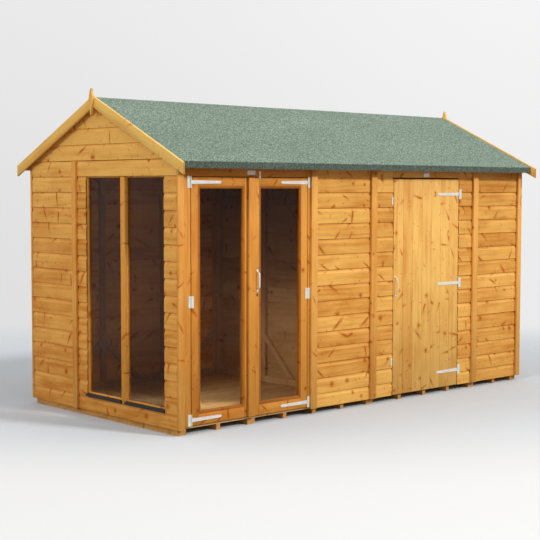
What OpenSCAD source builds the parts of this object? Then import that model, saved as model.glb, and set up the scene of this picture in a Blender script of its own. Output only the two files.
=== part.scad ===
// Timber summerhouse with a side store, a glazed double door and a low apex roof.
// Inside the modules X runs along the front from the window gable, Y runs back from
// the front cladding and Z = 0 is the underside of the cladding. place() then puts
// the middle of the footprint at the origin, with the bearers standing on Z = 0.

/* [Walls] */
// Length over the cladding, along the front.
wall_l = 3600; // [3300:1:4200]
// Width over the cladding, along each gable.
wall_w = 1714; // [1500:1:2200]
// Thickness of the wall boards.
clad_t = 12; // [10:0.5:16]
// Depth of the wall framing behind the boards.
frame_t = 28; // [22:1:40]
// Face width of a framing stud or rail.
frame_b = 45; // [34:1:60]
// Height of the outer wall face up to the roof boards.
eave_h = 1743; // [1720:1:2000]
// Width of the front panel beside the glazed doors.
middle_panel_b = 612; // [560:1:760]
// Width of the wall between that panel and the store doorway.
beside_store_b = 221; // [160:1:260]
// Width of the wall between the store doorway and the next panel joint.
past_store_b = 191; // [150:1:240]
// Distance of the partition's middle stud from the front wall's face.
partition_stud_y = 1101; // [1030:1:1160]
// Width of the corner braces in the framing.
brace_b = 36; // [28:1:45]
// Length of a corner brace's two legs, up the stud and along the rail.
brace_leg = 330; // [260:1:400]
// Depth to which a corner brace is let into the stud and the rail.
brace_let = 11; // [5:1:20]

/* [Roof] */
// Pitch of both slopes in degrees.
roof_pitch = 25.2; // [20:0.1:30]
// Thickness of the roof boards.
roof_board_t = 12; // [9:0.5:18]
// Thickness of the roofing felt.
felt_t = 3; // [1.5:0.1:4]
// Reach of the roof boards past the front and back walls.
eave_out = 77; // [60:1:100]
// Reach of the roof boards past each gable.
gable_out = 28.5; // [20:0.5:50]
// Drop of the felt's turned-down edge below the top of the wall's outer face.
flap_drop = 67.5; // [50:0.5:80]
// Width of the batten under each eave.
batten_b = 28; // [20:1:40]
// Drop of the eave batten's underside below the top of the wall's outer face.
batten_drop = 65; // [50:0.5:78]
// Width of the ridge beam and of each purlin.
purlin_b = 34; // [28:1:45]
// Depth of each purlin.
purlin_h = 58; // [45:1:80]
// Depth of the ridge beam.
ridge_h = 72; // [55:1:90]
// Play on each side of a beam in the partition's notches.
notch_play = 1; // [0.5:0.1:3]
// Play between the roof boards and the walls and beams under them.
seat_play = 0.05; // [0.02:0.01:0.3]

/* [Bargeboards and finials] */
// Thickness of a bargeboard.
barge_t = 16; // [12:1:22]
// Upright height of a bargeboard.
barge_h = 76; // [60:1:100]
// Height of the bargeboards' top edges above the felt.
barge_over = 9; // [4:0.5:14]
// Reach of a bargeboard past the front or back wall face.
barge_out = 124.5; // [100:0.5:150]
// Gap between two bargeboards under the finial.
barge_gap = 1; // [0.5:0.5:4]
// Height of a finial's tip above the bargeboards.
finial_over = 48; // [30:1:80]
// Full height of a finial.
finial_h = 183; // [150:1:230]
// Greatest width of a finial.
finial_b = 46; // [36:1:60]

/* [Floor] */
// Thickness of the floor boards.
floor_t = 12; // [10:0.5:16]
// Distance of the floor's edge inside the cladding's outer face.
floor_inset = 18; // [17:0.5:24]
// Height of a floor bearer.
bearer_h = 40; // [28:1:60]
// Width of a floor bearer.
bearer_b = 33; // [25:1:45]
// Gap between two bearers that stand as a pair.
bearer_gap = 1; // [0.5:0.5:4]
// Length of the floor section at the window gable.
floor_first_l = 627; // [560:1:700]
// Length of the floor section that the double doors open onto.
floor_second_l = 1166; // [1080:1:1260]
// Length of the floor section behind the store door.
floor_third_l = 1188; // [1080:1:1280]
// Distance from the end of a floor section to its last single bearer.
bearer_from_joint = 289; // [240:1:320]
// Distance between neighbouring single bearers of a section.
bearer_pitch = 283; // [240:1:320]

/* [Cover strips] */
// Thickness of every cover strip.
strip_t = 18; // [12:1:24]
// Width of the strips at the corners.
corner_strip_b = 48; // [45:1:60]
// Width of the strips over panel joints.
strip_b = 58; // [50:1:80]
// Distance of the joint between a gable's two panels past the window.
gable_joint_gap = 128.5; // [110:0.5:160]
// Width of the strip on the joint of a gable.
gable_strip_b = 50; // [40:1:60]
// Drop of that strip's top below the top of the long walls.
gable_strip_drop = 8; // [4:1:40]

/* [Double doors] */
// Width of the post between the near corner and the doors.
left_post_b = 72; // [65:1:90]
// Width of the post on the other side of the doors.
right_post_b = 50; // [45:1:70]
// Gap around every door.
door_gap = 6; // [5.5:0.1:8]
// Gap between the two leaves.
meeting_gap = 8; // [7.5:0.1:12]
// Width of the left leaf.
left_leaf_b = 472; // [440:1:520]
// Width of the right leaf.
right_leaf_b = 554; // [520:1:600]
// Height of the lintel over the doors.
lintel_h = 118; // [100:1:140]
// Thickness of a leaf.
leaf_t = 28; // [25:1:35]
// Width of each leaf's hinge stile.
hinge_stile_b = 77; // [65:1:90]
// Width of the left leaf's meeting stile.
left_meeting_b = 36; // [30:1:50]
// Width of the right leaf's meeting stile.
right_meeting_b = 123; // [100:1:140]
// Height of the bottom rail of a leaf.
bottom_rail_b = 88; // [70:1:110]
// Height of the top rail of a leaf.
top_rail_b = 73; // [60:1:90]
// Width of the strip that hides the gap between the leaves.
meeting_strip_b = 60; // [50:1:75]

/* [Glazing] */
// Thickness of every pane.
pane_t = 3; // [2:0.5:5]
// Depth of a door pane behind the leaf's face.
door_pane_set = 16; // [12:1:19]
// Overlap of a pane behind its frame.
pane_lap = 6; // [4:0.5:10]
// Play between a pane's edge and its rebate.
pane_play = 1; // [0.5:0.1:3]

/* [Gable window] */
// Near edge of the window opening.
win_y = 133; // [115:1:160]
// Width of the window opening.
win_b = 879.5; // [800:0.5:900]
// Bottom of the window opening.
win_z = 98; // [90:1:130]
// Width of the window frame hidden behind the boards, around the opening.
win_hidden_b = 22; // [18:1:30]
// Width of the window frame seen inside the opening, at the jambs and head.
win_seen_b = 6; // [4:1:20]
// Height of the window frame's bottom rail seen inside the opening.
win_rail_h = 31; // [28:1:45]
// Depth of the window frame's front behind the boards' face.
win_frame_set = 14; // [12:0.5:16]
// Depth of the window panes behind the boards' face.
win_pane_set = 24; // [20:0.5:30]
// Width of the mullion.
mullion_b = 50; // [40:1:80]
// Distance of the mullion's middle from the opening's near edge.
mullion_from = 448.5; // [400:0.5:480]
// Reach of a sill's nosing past the boards.
sill_out = 8; // [5:1:20]
// Reach of a sill's nosing past each side of its light.
sill_horn = 8; // [2:1:16]
// Height of a sill's nosing.
sill_nose_h = 18; // [10:0.5:24]
// Rise of a sill's back edge above the opening's bottom.
sill_back_h = 22; // [20:1:28]
// Rise of the nosing's foot, where water drips off.
sill_drip = 1; // [0.5:0.5:4]
// Play between a sill and the sides of its light.
sill_play = 0.5; // [0.2:0.1:3]

/* [Store door] */
// Width of the store door.
store_door_b = 755; // [700:1:780]
// Height of the store door's foot above the cladding's underside.
store_foot_z = 2; // [0:1:10]
// Thickness of the ledges and braces behind the door.
ledge_t = 20; // [15:1:24]
// Width of the ledges and braces.
ledge_b = 92; // [70:1:110]
// Height of the lowest ledge's middle above the door's foot.
ledge_low = 120; // [100:1:160]
// Depth of the highest ledge's middle below the door's head.
ledge_high = 116; // [90:1:160]
// Distance of the ledges' ends inside the door's edges.
ledge_inset = 28; // [20:1:40]
// Length of a brace's foot and head on the ledges.
brace_foot = 115; // [90:1:140]

/* [Hinges] */
// Height of every hinge plate and butt hinge.
hinge_h = 76; // [60:1:100]
// Thickness of straps, plates and hinge leaves.
hinge_t = 2.5; // [2:0.1:3]
// Radius of a hinge knuckle.
knuckle_r = 4; // [3.8:0.1:4.4]
// Diameter of a hinge pin.
pin_d = 4; // [3:0.1:4.4]
// Play of a knuckle on its pin, on the radius.
pin_play = 0.3; // [0.2:0.05:0.5]
// Gap between neighbouring knuckles.
knuckle_gap = 0.5; // [0.4:0.1:1]
// Reach of a hinge strap from its pin.
strap_l = 254; // [200:1:300]
// Height of a strap's tip.
strap_tip_h = 18; // [12:1:22]
// Width of a T-hinge plate from its pin.
plate_b = 28; // [24:1:34]
// Width of the narrow plates beside the first cover strip.
narrow_plate_b = 22; // [18:1:22]
// Width of a butt hinge leaf from its pin.
butt_b = 22; // [16:1:22]
// Height of the lower T-hinges' middle above a leaf's foot.
t_hinge_low = 36; // [30:1:50]
// Depth of the upper T-hinges' middle below a leaf's head.
t_hinge_high = 31; // [28:1:50]

/* [Handles] */
// Height of the pull handle's middle above a leaf's foot.
pull_up = 913.5; // [860:0.5:980]
// Distance of the pull handle from the meeting strip.
pull_from_strip = 27; // [22:1:34]
// Length of the pull handle over its feet.
pull_l = 153; // [130:1:180]
// Height of one foot of the pull handle.
pull_foot_h = 31; // [26:1:36]
// Width of a foot of the pull handle.
pull_foot_b = 20; // [16:1:26]
// Clear space behind the pull handle's grip.
pull_reach = 17; // [14:1:26]
// Thickness of the pull handle's grip.
pull_grip_d = 8; // [6:1:10]
// Height of the store handle's middle above the door's foot.
bow_up = 814; // [780:1:860]
// Distance of the store handle from the door's edge.
bow_from_edge = 23; // [18:1:30]
// Distance between the legs of the store handle.
bow_l = 142; // [120:1:160]
// Clear space behind the store handle's grip.
bow_reach = 22; // [18:1:30]
// Thickness of the store handle's rod.
bow_d = 6; // [5:1:8]
// Width of the small plate under each leg of the store handle.
bow_plate_b = 16; // [12:1:18]

/* [Hidden] */
rise = tan(roof_pitch);
floor_joint_x = [
    floor_inset + floor_first_l,
    floor_inset + floor_first_l + floor_second_l,
    floor_inset + floor_first_l + floor_second_l + floor_third_l
];
section_end = concat(floor_joint_x, [wall_l - floor_inset]);
single_bearers = [1, 3, 3, 1];
bearer_x = [
    for (k = [0:3], n = [1:single_bearers[k]])
        section_end[k] - bearer_from_joint - (n - 1) * bearer_pitch
];
mid_y = wall_w / 2;
frame_in = clad_t + frame_t;
rail_z = eave_h - frame_b;
lintel_z = eave_h - lintel_h;
batten_z = eave_h - batten_drop;
felt_flap_z = eave_h - flap_drop;
gable_strip_z = eave_h - gable_strip_drop;
purlin_y = mid_y / 2;
chord_h = frame_b / cos(roof_pitch);
roof_v = roof_board_t / cos(roof_pitch);
felt_v = felt_t / cos(roof_pitch);
barge_top_z = eave_h + rise * mid_y + roof_v + felt_v + barge_over;
finial_top_z = barge_top_z + finial_over;
door_x0 = frame_in + left_post_b;
left_x0 = door_x0 + door_gap;
left_x1 = left_x0 + left_leaf_b;
right_x0 = left_x1 + meeting_gap;
right_x1 = right_x0 + right_leaf_b;
door_x1 = right_x1 + door_gap;
panel_x0 = door_x1 + right_post_b;
middle_joint_x = panel_x0 + middle_panel_b;
partition_x = middle_joint_x - frame_b - clad_t;
post_x = partition_x - 2 * frame_t;
store_x = middle_joint_x + beside_store_b;
store_x1 = store_x + 2 * door_gap + store_door_b;
store_joint_x = store_x1 + past_store_b;
leaf_z0 = floor_t + door_gap;
leaf_z1 = lintel_z - door_gap;
left_axis_x = door_x0 + door_gap / 2;
right_axis_x = door_x1 - door_gap / 2;
store_axis_x = store_x1 - door_gap / 2;
third = hinge_h / 3;
t_hinge_z = [leaf_z0 + t_hinge_low, leaf_z1 - t_hinge_high];
butt_z = (leaf_z0 + leaf_z1) / 2;
ledge_z = [store_foot_z + ledge_low, (store_foot_z + leaf_z1) / 2, leaf_z1 - ledge_high];
win_y1 = win_y + win_b;
win_z1 = lintel_z;
gable_joint_y = win_y1 + gable_joint_gap;
mullion_y = win_y + mullion_from;
pull_z = leaf_z0 + pull_up;
bow_z = store_foot_z + bow_up;
handle_x = right_x0 + meeting_strip_b + pull_from_strip;
bow_x = store_x + door_gap + bow_from_edge;
pine = [0.80, 0.52, 0.24];
pale_pine = [0.86, 0.66, 0.36];
inner_pine = [0.70, 0.47, 0.24];
zinc = [0.80, 0.81, 0.82];
black_paint = [0.05, 0.05, 0.06];
felt_grey = [0.33, 0.36, 0.34];
clear_glass = [0.75, 0.85, 0.88, 0.4];

// Underside of the roof boards above a point across the building.
function under(y) = eave_h + rise * min(y, wall_w - y);

// Top of a wall or beam that the roof boards seat on.
function seat(y) = under(y) - seat_play;

// Lower edge of the sloping rail at the top of a framed gable.
function chord(y) = under(y) - chord_h;

// Puts the middle of the footprint at the origin with the bearers on Z = 0.
module place() {
    translate([-wall_l / 2, -wall_w / 2, bearer_h]) children();
}

// Box from its low corner to its high corner.
module span(low, high) {
    translate(low) cube(high - low);
}

// Extrudes a shape drawn across the building from x0 to x1.
module along_x(x0, x1) {
    translate([x0, 0, 0]) rotate([90, 0, 90]) linear_extrude(x1 - x0) children();
}

// Extrudes a shape drawn in X and Z from y0 to y1.
module along_y(y0, y1) {
    translate([0, y1, 0]) rotate([90, 0, 0]) linear_extrude(y1 - y0) children();
}

// Upright section between y0 and y1 that ends under one roof slope.
module wall_section(y0, y1, z0) {
    polygon([[y0, z0], [y1, z0], [y1, seat(y1)], [y0, seat(y0)]]);
}

// Whole gable outline between y0 and y1 with its top under both slopes.
module gable_outline(y0, y1, z0) {
    polygon([[y0, z0], [y1, z0], [y1, seat(y1)], [mid_y, seat(mid_y)], [y0, seat(y0)]]);
}

// Open bay of a framed gable up to the sloping rail.
module bay(y0, y1, z0) {
    polygon([[y0, z0], [y1, z0], [y1, chord(y1)], [y0, chord(y0)]]);
}

// Wall along the front or back with its top under the roof boards.
module long_wall(x0, x1, y0, y1, z0) {
    along_x(x0, x1) wall_section(y0, y1, z0);
}

// Sections of the ridge beam and purlins, wider by play on each side and higher by over.
module beam_sections(play, over) {
    for (y = [purlin_y, wall_w - purlin_y]) {
        polygon([
            [y - purlin_b / 2 - play, under(y) - purlin_h],
            [y + purlin_b / 2 + play, under(y) - purlin_h],
            [y + purlin_b / 2 + play, under(y + purlin_b / 2) + over],
            [y - purlin_b / 2 - play, under(y - purlin_b / 2) + over]
        ]);
    }
    polygon([
        [mid_y - purlin_b / 2 - play, under(mid_y) - ridge_h],
        [mid_y + purlin_b / 2 + play, under(mid_y) - ridge_h],
        [mid_y + purlin_b / 2 + play, under(mid_y + purlin_b / 2) + over],
        [mid_y, under(mid_y) + over],
        [mid_y - purlin_b / 2 - play, under(mid_y - purlin_b / 2) + over]
    ]);
}

module floor_bearers() {
    color(pine) place() {
        for (x = bearer_x) {
            span([x - bearer_b / 2, floor_inset, -bearer_h],
                 [x + bearer_b / 2, wall_w - floor_inset, 0]);
        }
        for (x = floor_joint_x, side = [-1, 1]) {
            translate([x + side * (bearer_b + bearer_gap) / 2 - bearer_b / 2, floor_inset, -bearer_h])
                cube([bearer_b, wall_w - 2 * floor_inset, bearer_h]);
        }
        for (x = [floor_inset, floor_inset + bearer_b + bearer_gap]) {
            translate([x, floor_inset, -bearer_h])
                cube([bearer_b, wall_w - 2 * floor_inset, bearer_h]);
            translate([wall_l - x - bearer_b, floor_inset, -bearer_h])
                cube([bearer_b, wall_w - 2 * floor_inset, bearer_h]);
        }
    }
}

module floor_boards() {
    color(inner_pine) place()
        span([floor_inset, floor_inset, 0], [wall_l - floor_inset, wall_w - floor_inset, floor_t]);
}

module front_door_posts() {
    color(pine) place() {
        long_wall(frame_in, door_x0, 0, frame_in, floor_t);
        long_wall(door_x1, panel_x0, 0, frame_in, floor_t);
    }
}

module front_lintel() {
    color(pine) place() long_wall(door_x0, door_x1, 0, frame_in, lintel_z);
}

module front_wall_middle() {
    color(pine) place() long_wall(panel_x0, middle_joint_x, 0, clad_t, 0);
}

module front_wall_beside_store_door() {
    color(pine) place() long_wall(middle_joint_x, store_x, 0, clad_t, 0);
}

module front_wall_over_store_door() {
    color(pine) place() long_wall(store_x, store_x1, 0, clad_t, lintel_z);
}

module front_wall_past_store_door() {
    color(pine) place() long_wall(store_x1, store_joint_x, 0, clad_t, 0);
}

module front_wall_right() {
    color(pine) place() long_wall(store_joint_x, wall_l - frame_in, 0, clad_t, 0);
}

module back_wall() {
    color(pine) place() long_wall(frame_in, wall_l - frame_in, wall_w - clad_t, wall_w, 0);
}

module window_gable_wall() {
    color(pine) place() difference() {
        along_x(0, clad_t) gable_outline(0, wall_w, 0);
        span([-1, win_y, win_z], [clad_t + 1, win_y1, win_z1]);
    }
}

module store_gable_wall() {
    color(pine) place() along_x(wall_l - clad_t, wall_l) gable_outline(0, wall_w, 0);
}

module partition_boards() {
    color(inner_pine) place() difference() {
        along_x(partition_x, partition_x + clad_t)
            gable_outline(frame_in, wall_w - frame_in, floor_t);
        along_x(partition_x - 1, partition_x + clad_t + 1) beam_sections(notch_play, roof_v);
    }
}

module partition_frame() {
    far = wall_w - frame_in;
    lean = wall_w - purlin_y;
    stud = [partition_stud_y - frame_b / 2, partition_stud_y + frame_b / 2];
    low_bays = [
        [frame_in + frame_b, purlin_y - frame_b / 2],
        [purlin_y + frame_b / 2, stud[0]],
        [stud[1], far - frame_b]
    ];
    color(inner_pine) place() {
        difference() {
            along_x(partition_x - frame_t, partition_x) gable_outline(frame_in, far, floor_t);
            for (b = low_bays) {
                span([partition_x - frame_t - 1, b[0], floor_t + frame_b],
                     [partition_x + 1, b[1], rail_z - frame_b]);
            }
            along_x(partition_x - frame_t - 1, partition_x + 1) {
                bay(frame_in + frame_b, purlin_y - frame_b / 2, rail_z);
                bay(purlin_y + frame_b / 2, mid_y - frame_b, rail_z);
                bay(mid_y + frame_b, lean - frame_b / 2, rail_z);
                bay(lean + frame_b / 2, far - frame_b, rail_z);
                beam_sections(notch_play, roof_v);
            }
        }
        along_x(partition_x - frame_t, partition_x) {
            corner_brace(stud[0], -1);
            corner_brace(stud[1], 1);
        }
    }
}

// Brace from a stud's edge down to the bottom rail, on the side given.
module corner_brace(edge, side) {
    foot = floor_t + frame_b;
    inner = brace_leg - brace_b * sqrt(2);
    polygon([
        [edge - side * brace_let, foot + brace_leg + brace_let],
        [edge - side * brace_let, foot + inner + brace_let],
        [edge + side * (inner + brace_let), foot - brace_let],
        [edge + side * (brace_leg + brace_let), foot - brace_let]
    ]);
}

// Framing of a long wall from x0 to x1 with open bays between its studs.
module long_frame(x0, x1, y0, y1, bays, doorways) {
    difference() {
        long_wall(x0, x1, y0, y1, floor_t);
        for (b = bays) span([b[0], y0 - 1, floor_t + frame_b], [b[1], y1 + 1, rail_z]);
        for (d = doorways) span([d[0], y0 - 1, floor_t - 1], [d[1], y1 + 1, rail_z]);
    }
}

module front_wall_frame() {
    mid_a = (panel_x0 + middle_joint_x) / 2;
    mid_b = (store_joint_x + wall_l - frame_in) / 2;
    bays = [
        [panel_x0 + frame_b, mid_a - frame_b / 2],
        [mid_a + frame_b / 2, post_x],
        [post_x + frame_b, middle_joint_x - frame_b],
        [middle_joint_x + frame_b, store_x - frame_b],
        [store_x1 + frame_b, store_joint_x - frame_b],
        [store_joint_x + frame_b, mid_b - frame_b / 2],
        [mid_b + frame_b / 2, wall_l - frame_in - frame_b]
    ];
    color(inner_pine) place()
        long_frame(panel_x0, wall_l - frame_in, clad_t, frame_in, bays, [[store_x, store_x1]]);
}

module back_wall_frame() {
    mid_a = panel_x0 / 2;
    mid_b = (middle_joint_x + store_joint_x) / 2;
    end = wall_l - frame_in;
    bays = [
        [frame_in + frame_b, mid_a - frame_b / 2],
        [mid_a + frame_b / 2, panel_x0 - frame_b],
        [panel_x0 + frame_b, post_x],
        [post_x + frame_b, middle_joint_x - frame_b],
        [middle_joint_x + frame_b, mid_b - frame_b / 2],
        [mid_b + frame_b / 2, store_joint_x - frame_b],
        [store_joint_x + frame_b, end - frame_b]
    ];
    braces = [
        [mid_a - frame_b / 2, -1],
        [mid_a + frame_b / 2, 1],
        [post_x, -1],
        [mid_b - frame_b / 2, -1],
        [mid_b + frame_b / 2, 1],
        [end - frame_b, -1]
    ];
    color(inner_pine) place() {
        long_frame(frame_in, end, wall_w - frame_in, wall_w - clad_t, bays, []);
        along_y(wall_w - frame_in, wall_w - clad_t) {
            for (b = braces) corner_brace(b[0], b[1]);
        }
    }
}

// Upper bays of a framed gable on both sides of its middle stud.
module upper_bays() {
    bay(frame_b, mid_y - frame_b / 2, rail_z);
    bay(mid_y + frame_b / 2, wall_w - frame_b, rail_z);
}

module window_gable_frame() {
    color(inner_pine) place() difference() {
        along_x(clad_t, frame_in) gable_outline(0, wall_w, floor_t);
        span([0, win_y - win_hidden_b, win_z - win_hidden_b],
             [frame_in + 1, win_y1 + win_hidden_b, win_z1 + win_hidden_b]);
        span([0, gable_joint_y + frame_b, floor_t + frame_b],
             [frame_in + 1, wall_w - frame_in - frame_b, win_z1 + win_hidden_b]);
        along_x(clad_t - 1, frame_in + 1) upper_bays();
    }
}

module store_gable_frame() {
    near = frame_in + frame_b;
    far = wall_w - frame_in - frame_b;
    color(inner_pine) place() difference() {
        along_x(wall_l - frame_in, wall_l - clad_t) gable_outline(0, wall_w, floor_t);
        for (b = [[near, gable_joint_y / 2 - frame_b / 2],
                  [gable_joint_y / 2 + frame_b / 2, gable_joint_y - frame_b],
                  [gable_joint_y + frame_b, far]]) {
            span([wall_l - frame_in - 1, b[0], floor_t + frame_b],
                 [wall_l, b[1], win_z1 + win_hidden_b]);
        }
        along_x(wall_l - frame_in - 1, wall_l - clad_t + 1) upper_bays();
    }
}

// Side of the opening and side of the mullion that bound one light, 0 for the near one.
function jamb(k) = k == 0 ? win_y : win_y1;
function mullion_side(k) = mullion_y + (k == 0 ? -1 : 1) * mullion_b / 2;

// Y range of one light inside the window frame.
function light(k) = k == 0 ? [jamb(0) + win_seen_b, mullion_side(0)]
    : [mullion_side(1), jamb(1) - win_seen_b];

module window_frame() {
    z0 = win_z + win_rail_h;
    z1 = win_z1 - win_seen_b;
    color(pine) place() difference() {
        union() {
            difference() {
                span([clad_t, win_y - win_hidden_b, win_z - win_hidden_b],
                     [frame_in, win_y1 + win_hidden_b, win_z1 + win_hidden_b]);
                span([clad_t - 1, win_y, win_z], [win_frame_set, win_y1, win_z1]);
            }
            span([0, mullion_side(0), win_z], [frame_in, mullion_side(1), win_z1]);
        }
        for (k = [0, 1]) {
            span([-1, light(k)[0], z0], [frame_in + 1, light(k)[1], z1]);
            span([win_pane_set, light(k)[0] - pane_lap, z0 - pane_lap],
                 [frame_in + 1, light(k)[1] + pane_lap, z1 + pane_lap]);
        }
    }
}

module window_panes() {
    lap = pane_lap - pane_play;
    color(clear_glass) place() for (k = [0, 1]) {
        span([win_pane_set, light(k)[0] - lap, win_z + win_rail_h - lap],
             [win_pane_set + pane_t, light(k)[1] + lap, win_z1 - win_seen_b + lap]);
    }
}

// Sloping sill of each light with a nosing that runs past the light's sides.
module window_sills() {
    fall = (sill_back_h - sill_drip - sill_nose_h) / (win_frame_set + sill_out);
    face_z = win_z + sill_drip + sill_nose_h + sill_out * fall;
    color(black_paint) place() for (k = [0, 1]) {
        low = min(jamb(k), mullion_side(k));
        high = max(jamb(k), mullion_side(k));
        along_y(low + sill_play, high - sill_play) polygon([
            [-1, win_z],
            [win_frame_set, win_z],
            [win_frame_set, win_z + sill_back_h],
            [-1, face_z - fall]
        ]);
        along_y(low - sill_horn, high + sill_horn) polygon([
            [-sill_out, win_z + sill_drip],
            [0, win_z],
            [0, face_z],
            [-sill_out, win_z + sill_drip + sill_nose_h]
        ]);
    }
}

// Cover strips along a long wall, standing out by strip_t in front of y0.
module long_strips(middles, y0) {
    for (x = middles) long_wall(x - strip_b / 2, x + strip_b / 2, y0 - strip_t, y0, 0);
    long_wall(0, corner_strip_b, y0 - strip_t, y0, 0);
    long_wall(wall_l - corner_strip_b, wall_l, y0 - strip_t, y0, 0);
}

module front_cover_strips() {
    color(pine) place() long_strips([panel_x0, middle_joint_x, store_joint_x], 0);
}

module back_cover_strips() {
    color(pine) place() long_strips([panel_x0, middle_joint_x, store_joint_x], wall_w + strip_t);
}

module gable_cover_strips() {
    low = gable_joint_y - gable_strip_b / 2;
    color(pine) place() {
        span([-strip_t, low, 0], [0, low + gable_strip_b, gable_strip_z]);
        span([wall_l, low, 0], [wall_l + strip_t, low + gable_strip_b, gable_strip_z]);
    }
}

// Section of one slope of roof boards from the eave to the ridge.
module roof_slope(eave) {
    polygon([
        [eave, under(eave)],
        [mid_y, under(mid_y)],
        [mid_y, under(mid_y) + roof_v],
        [eave, under(eave) + roof_v]
    ]);
}

module roof_boards_front() {
    color(inner_pine) place() along_x(-gable_out, wall_l + gable_out) roof_slope(-eave_out);
}

module roof_boards_back() {
    color(inner_pine) place() along_x(-gable_out, wall_l + gable_out) roof_slope(wall_w + eave_out);
}

module ridge_and_purlins() {
    color(inner_pine) place() along_x(frame_in, wall_l - frame_in) beam_sections(0, -seat_play);
}

module roof_felt() {
    outer = eave_out + felt_t;
    color(felt_grey) place() along_x(-gable_out, wall_l + gable_out) polygon([
        [-outer, felt_flap_z],
        [-eave_out, felt_flap_z],
        [-eave_out, under(-eave_out) + roof_v],
        [mid_y, under(mid_y) + roof_v],
        [wall_w + eave_out, under(-eave_out) + roof_v],
        [wall_w + eave_out, felt_flap_z],
        [wall_w + outer, felt_flap_z],
        [wall_w + outer, under(-outer) + roof_v + felt_v],
        [mid_y, under(mid_y) + roof_v + felt_v],
        [-outer, under(-outer) + roof_v + felt_v]
    ]);
}

module eave_battens() {
    near = [-eave_out, -eave_out + batten_b];
    far = [wall_w + eave_out - batten_b, wall_w + eave_out];
    color(pine) place() for (y = [near, far]) {
        along_x(-gable_out, wall_l + gable_out) wall_section(y[0], y[1], batten_z);
    }
}

// Both bargeboards of a gable whose roof boards end at x, on the side given.
module bargeboards(x0) {
    foot = barge_top_z - rise * (mid_y + barge_out);
    head = barge_top_z - rise * barge_gap / 2;
    for (side = [-1, 1]) along_x(x0, x0 + barge_t) polygon([
        [mid_y + side * (mid_y + barge_out), foot - barge_h],
        [mid_y + side * barge_gap / 2, head - barge_h],
        [mid_y + side * barge_gap / 2, head],
        [mid_y + side * (mid_y + barge_out), foot]
    ]);
}

module window_gable_bargeboards() {
    color(pale_pine) place() bargeboards(-gable_out - barge_t);
}

module store_gable_bargeboards() {
    color(pale_pine) place() bargeboards(wall_l + gable_out);
}

module finials() {
    half = [[0, 0], [0.30, 0.10], [0.50, 0.41], [0.39, 0.77], [0.15, 1]];
    right = [for (p = half) [mid_y + p[0] * finial_b, finial_top_z - p[1] * finial_h]];
    left = [for (k = [4:-1:1]) [mid_y - half[k][0] * finial_b, finial_top_z - half[k][1] * finial_h]];
    color(pale_pine) place() for (x = [-gable_out - 2 * barge_t, wall_l + gable_out + barge_t]) {
        along_x(x, x + barge_t) polygon(concat(right, left));
    }
}

// Fixed part of a hinge with its pin: plate to +X, knuckles at both ends.
// Its origin is on the pin at mid height, with the wall face at Y = knuckle_r.
module hinge_fixed(width) {
    difference() {
        translate([0, knuckle_r - hinge_t, -hinge_h / 2]) cube([width, hinge_t, hinge_h]);
        translate([-1, knuckle_r - hinge_t - 1, -third / 2])
            cube([knuckle_r + 1 + knuckle_gap, hinge_t + 2, third]);
    }
    for (z = [-hinge_h / 2, third / 2]) {
        translate([0, 0, z]) cylinder(r = knuckle_r, h = third, $fn = 48);
    }
    translate([0, 0, -hinge_h / 2]) cylinder(d = pin_d, h = hinge_h, $fn = 48);
}

// Knuckle in the middle third of a hinge with a flat part, bored for the pin.
module hinge_moving() {
    difference() {
        union() {
            translate([0, 0, -third / 2 + knuckle_gap])
                cylinder(r = knuckle_r, h = third - 2 * knuckle_gap, $fn = 48);
            children();
        }
        translate([0, 0, -hinge_h]) cylinder(r = pin_d / 2 + pin_play, h = 2 * hinge_h, $fn = 48);
    }
}

// Strap of a T-hinge, running to +X and tapering to a clipped tip.
module strap() {
    root = third / 2 - knuckle_gap;
    tip = strap_tip_h / 2;
    hinge_moving() along_y(knuckle_r - hinge_t, knuckle_r) polygon([
        [0, -root],
        [strap_l - tip, -tip],
        [strap_l, -tip / 2],
        [strap_l, tip / 2],
        [strap_l - tip, tip],
        [0, root]
    ]);
}

// Moving leaf of a butt hinge, running to +X.
module butt_leaf() {
    clear = knuckle_r + knuckle_gap;
    hinge_moving() {
        translate([clear, knuckle_r - hinge_t, -hinge_h / 2])
            cube([butt_b - clear, hinge_t, hinge_h]);
        translate([0, knuckle_r - hinge_t, -third / 2 + knuckle_gap])
            cube([butt_b, hinge_t, third - 2 * knuckle_gap]);
    }
}

// Puts a hinge on the pin line at x, facing +X for side 1 and -X for side -1.
module on_pin(x, z, side) {
    translate([x, -knuckle_r, z]) {
        if (side > 0) children();
        else mirror([1, 0, 0]) children();
    }
}

module hinge_plates() {
    color(zinc) place() {
        for (z = t_hinge_z) {
            on_pin(left_axis_x, z, -1) hinge_fixed(plate_b);
            on_pin(right_axis_x, z, 1) hinge_fixed(narrow_plate_b);
        }
        on_pin(left_axis_x, butt_z, -1) hinge_fixed(butt_b);
        on_pin(right_axis_x, butt_z, 1) hinge_fixed(butt_b);
        for (z = ledge_z) on_pin(store_axis_x, z, 1) hinge_fixed(plate_b);
    }
}

module left_door_hinges() {
    color(zinc) place() {
        for (z = t_hinge_z) on_pin(left_axis_x, z, 1) strap();
        on_pin(left_axis_x, butt_z, 1) butt_leaf();
    }
}

module right_door_hinges() {
    color(zinc) place() {
        for (z = t_hinge_z) on_pin(right_axis_x, z, -1) strap();
        on_pin(right_axis_x, butt_z, -1) butt_leaf();
    }
}

module store_door_hinges() {
    color(zinc) place() for (z = ledge_z) on_pin(store_axis_x, z, -1) strap();
}

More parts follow.
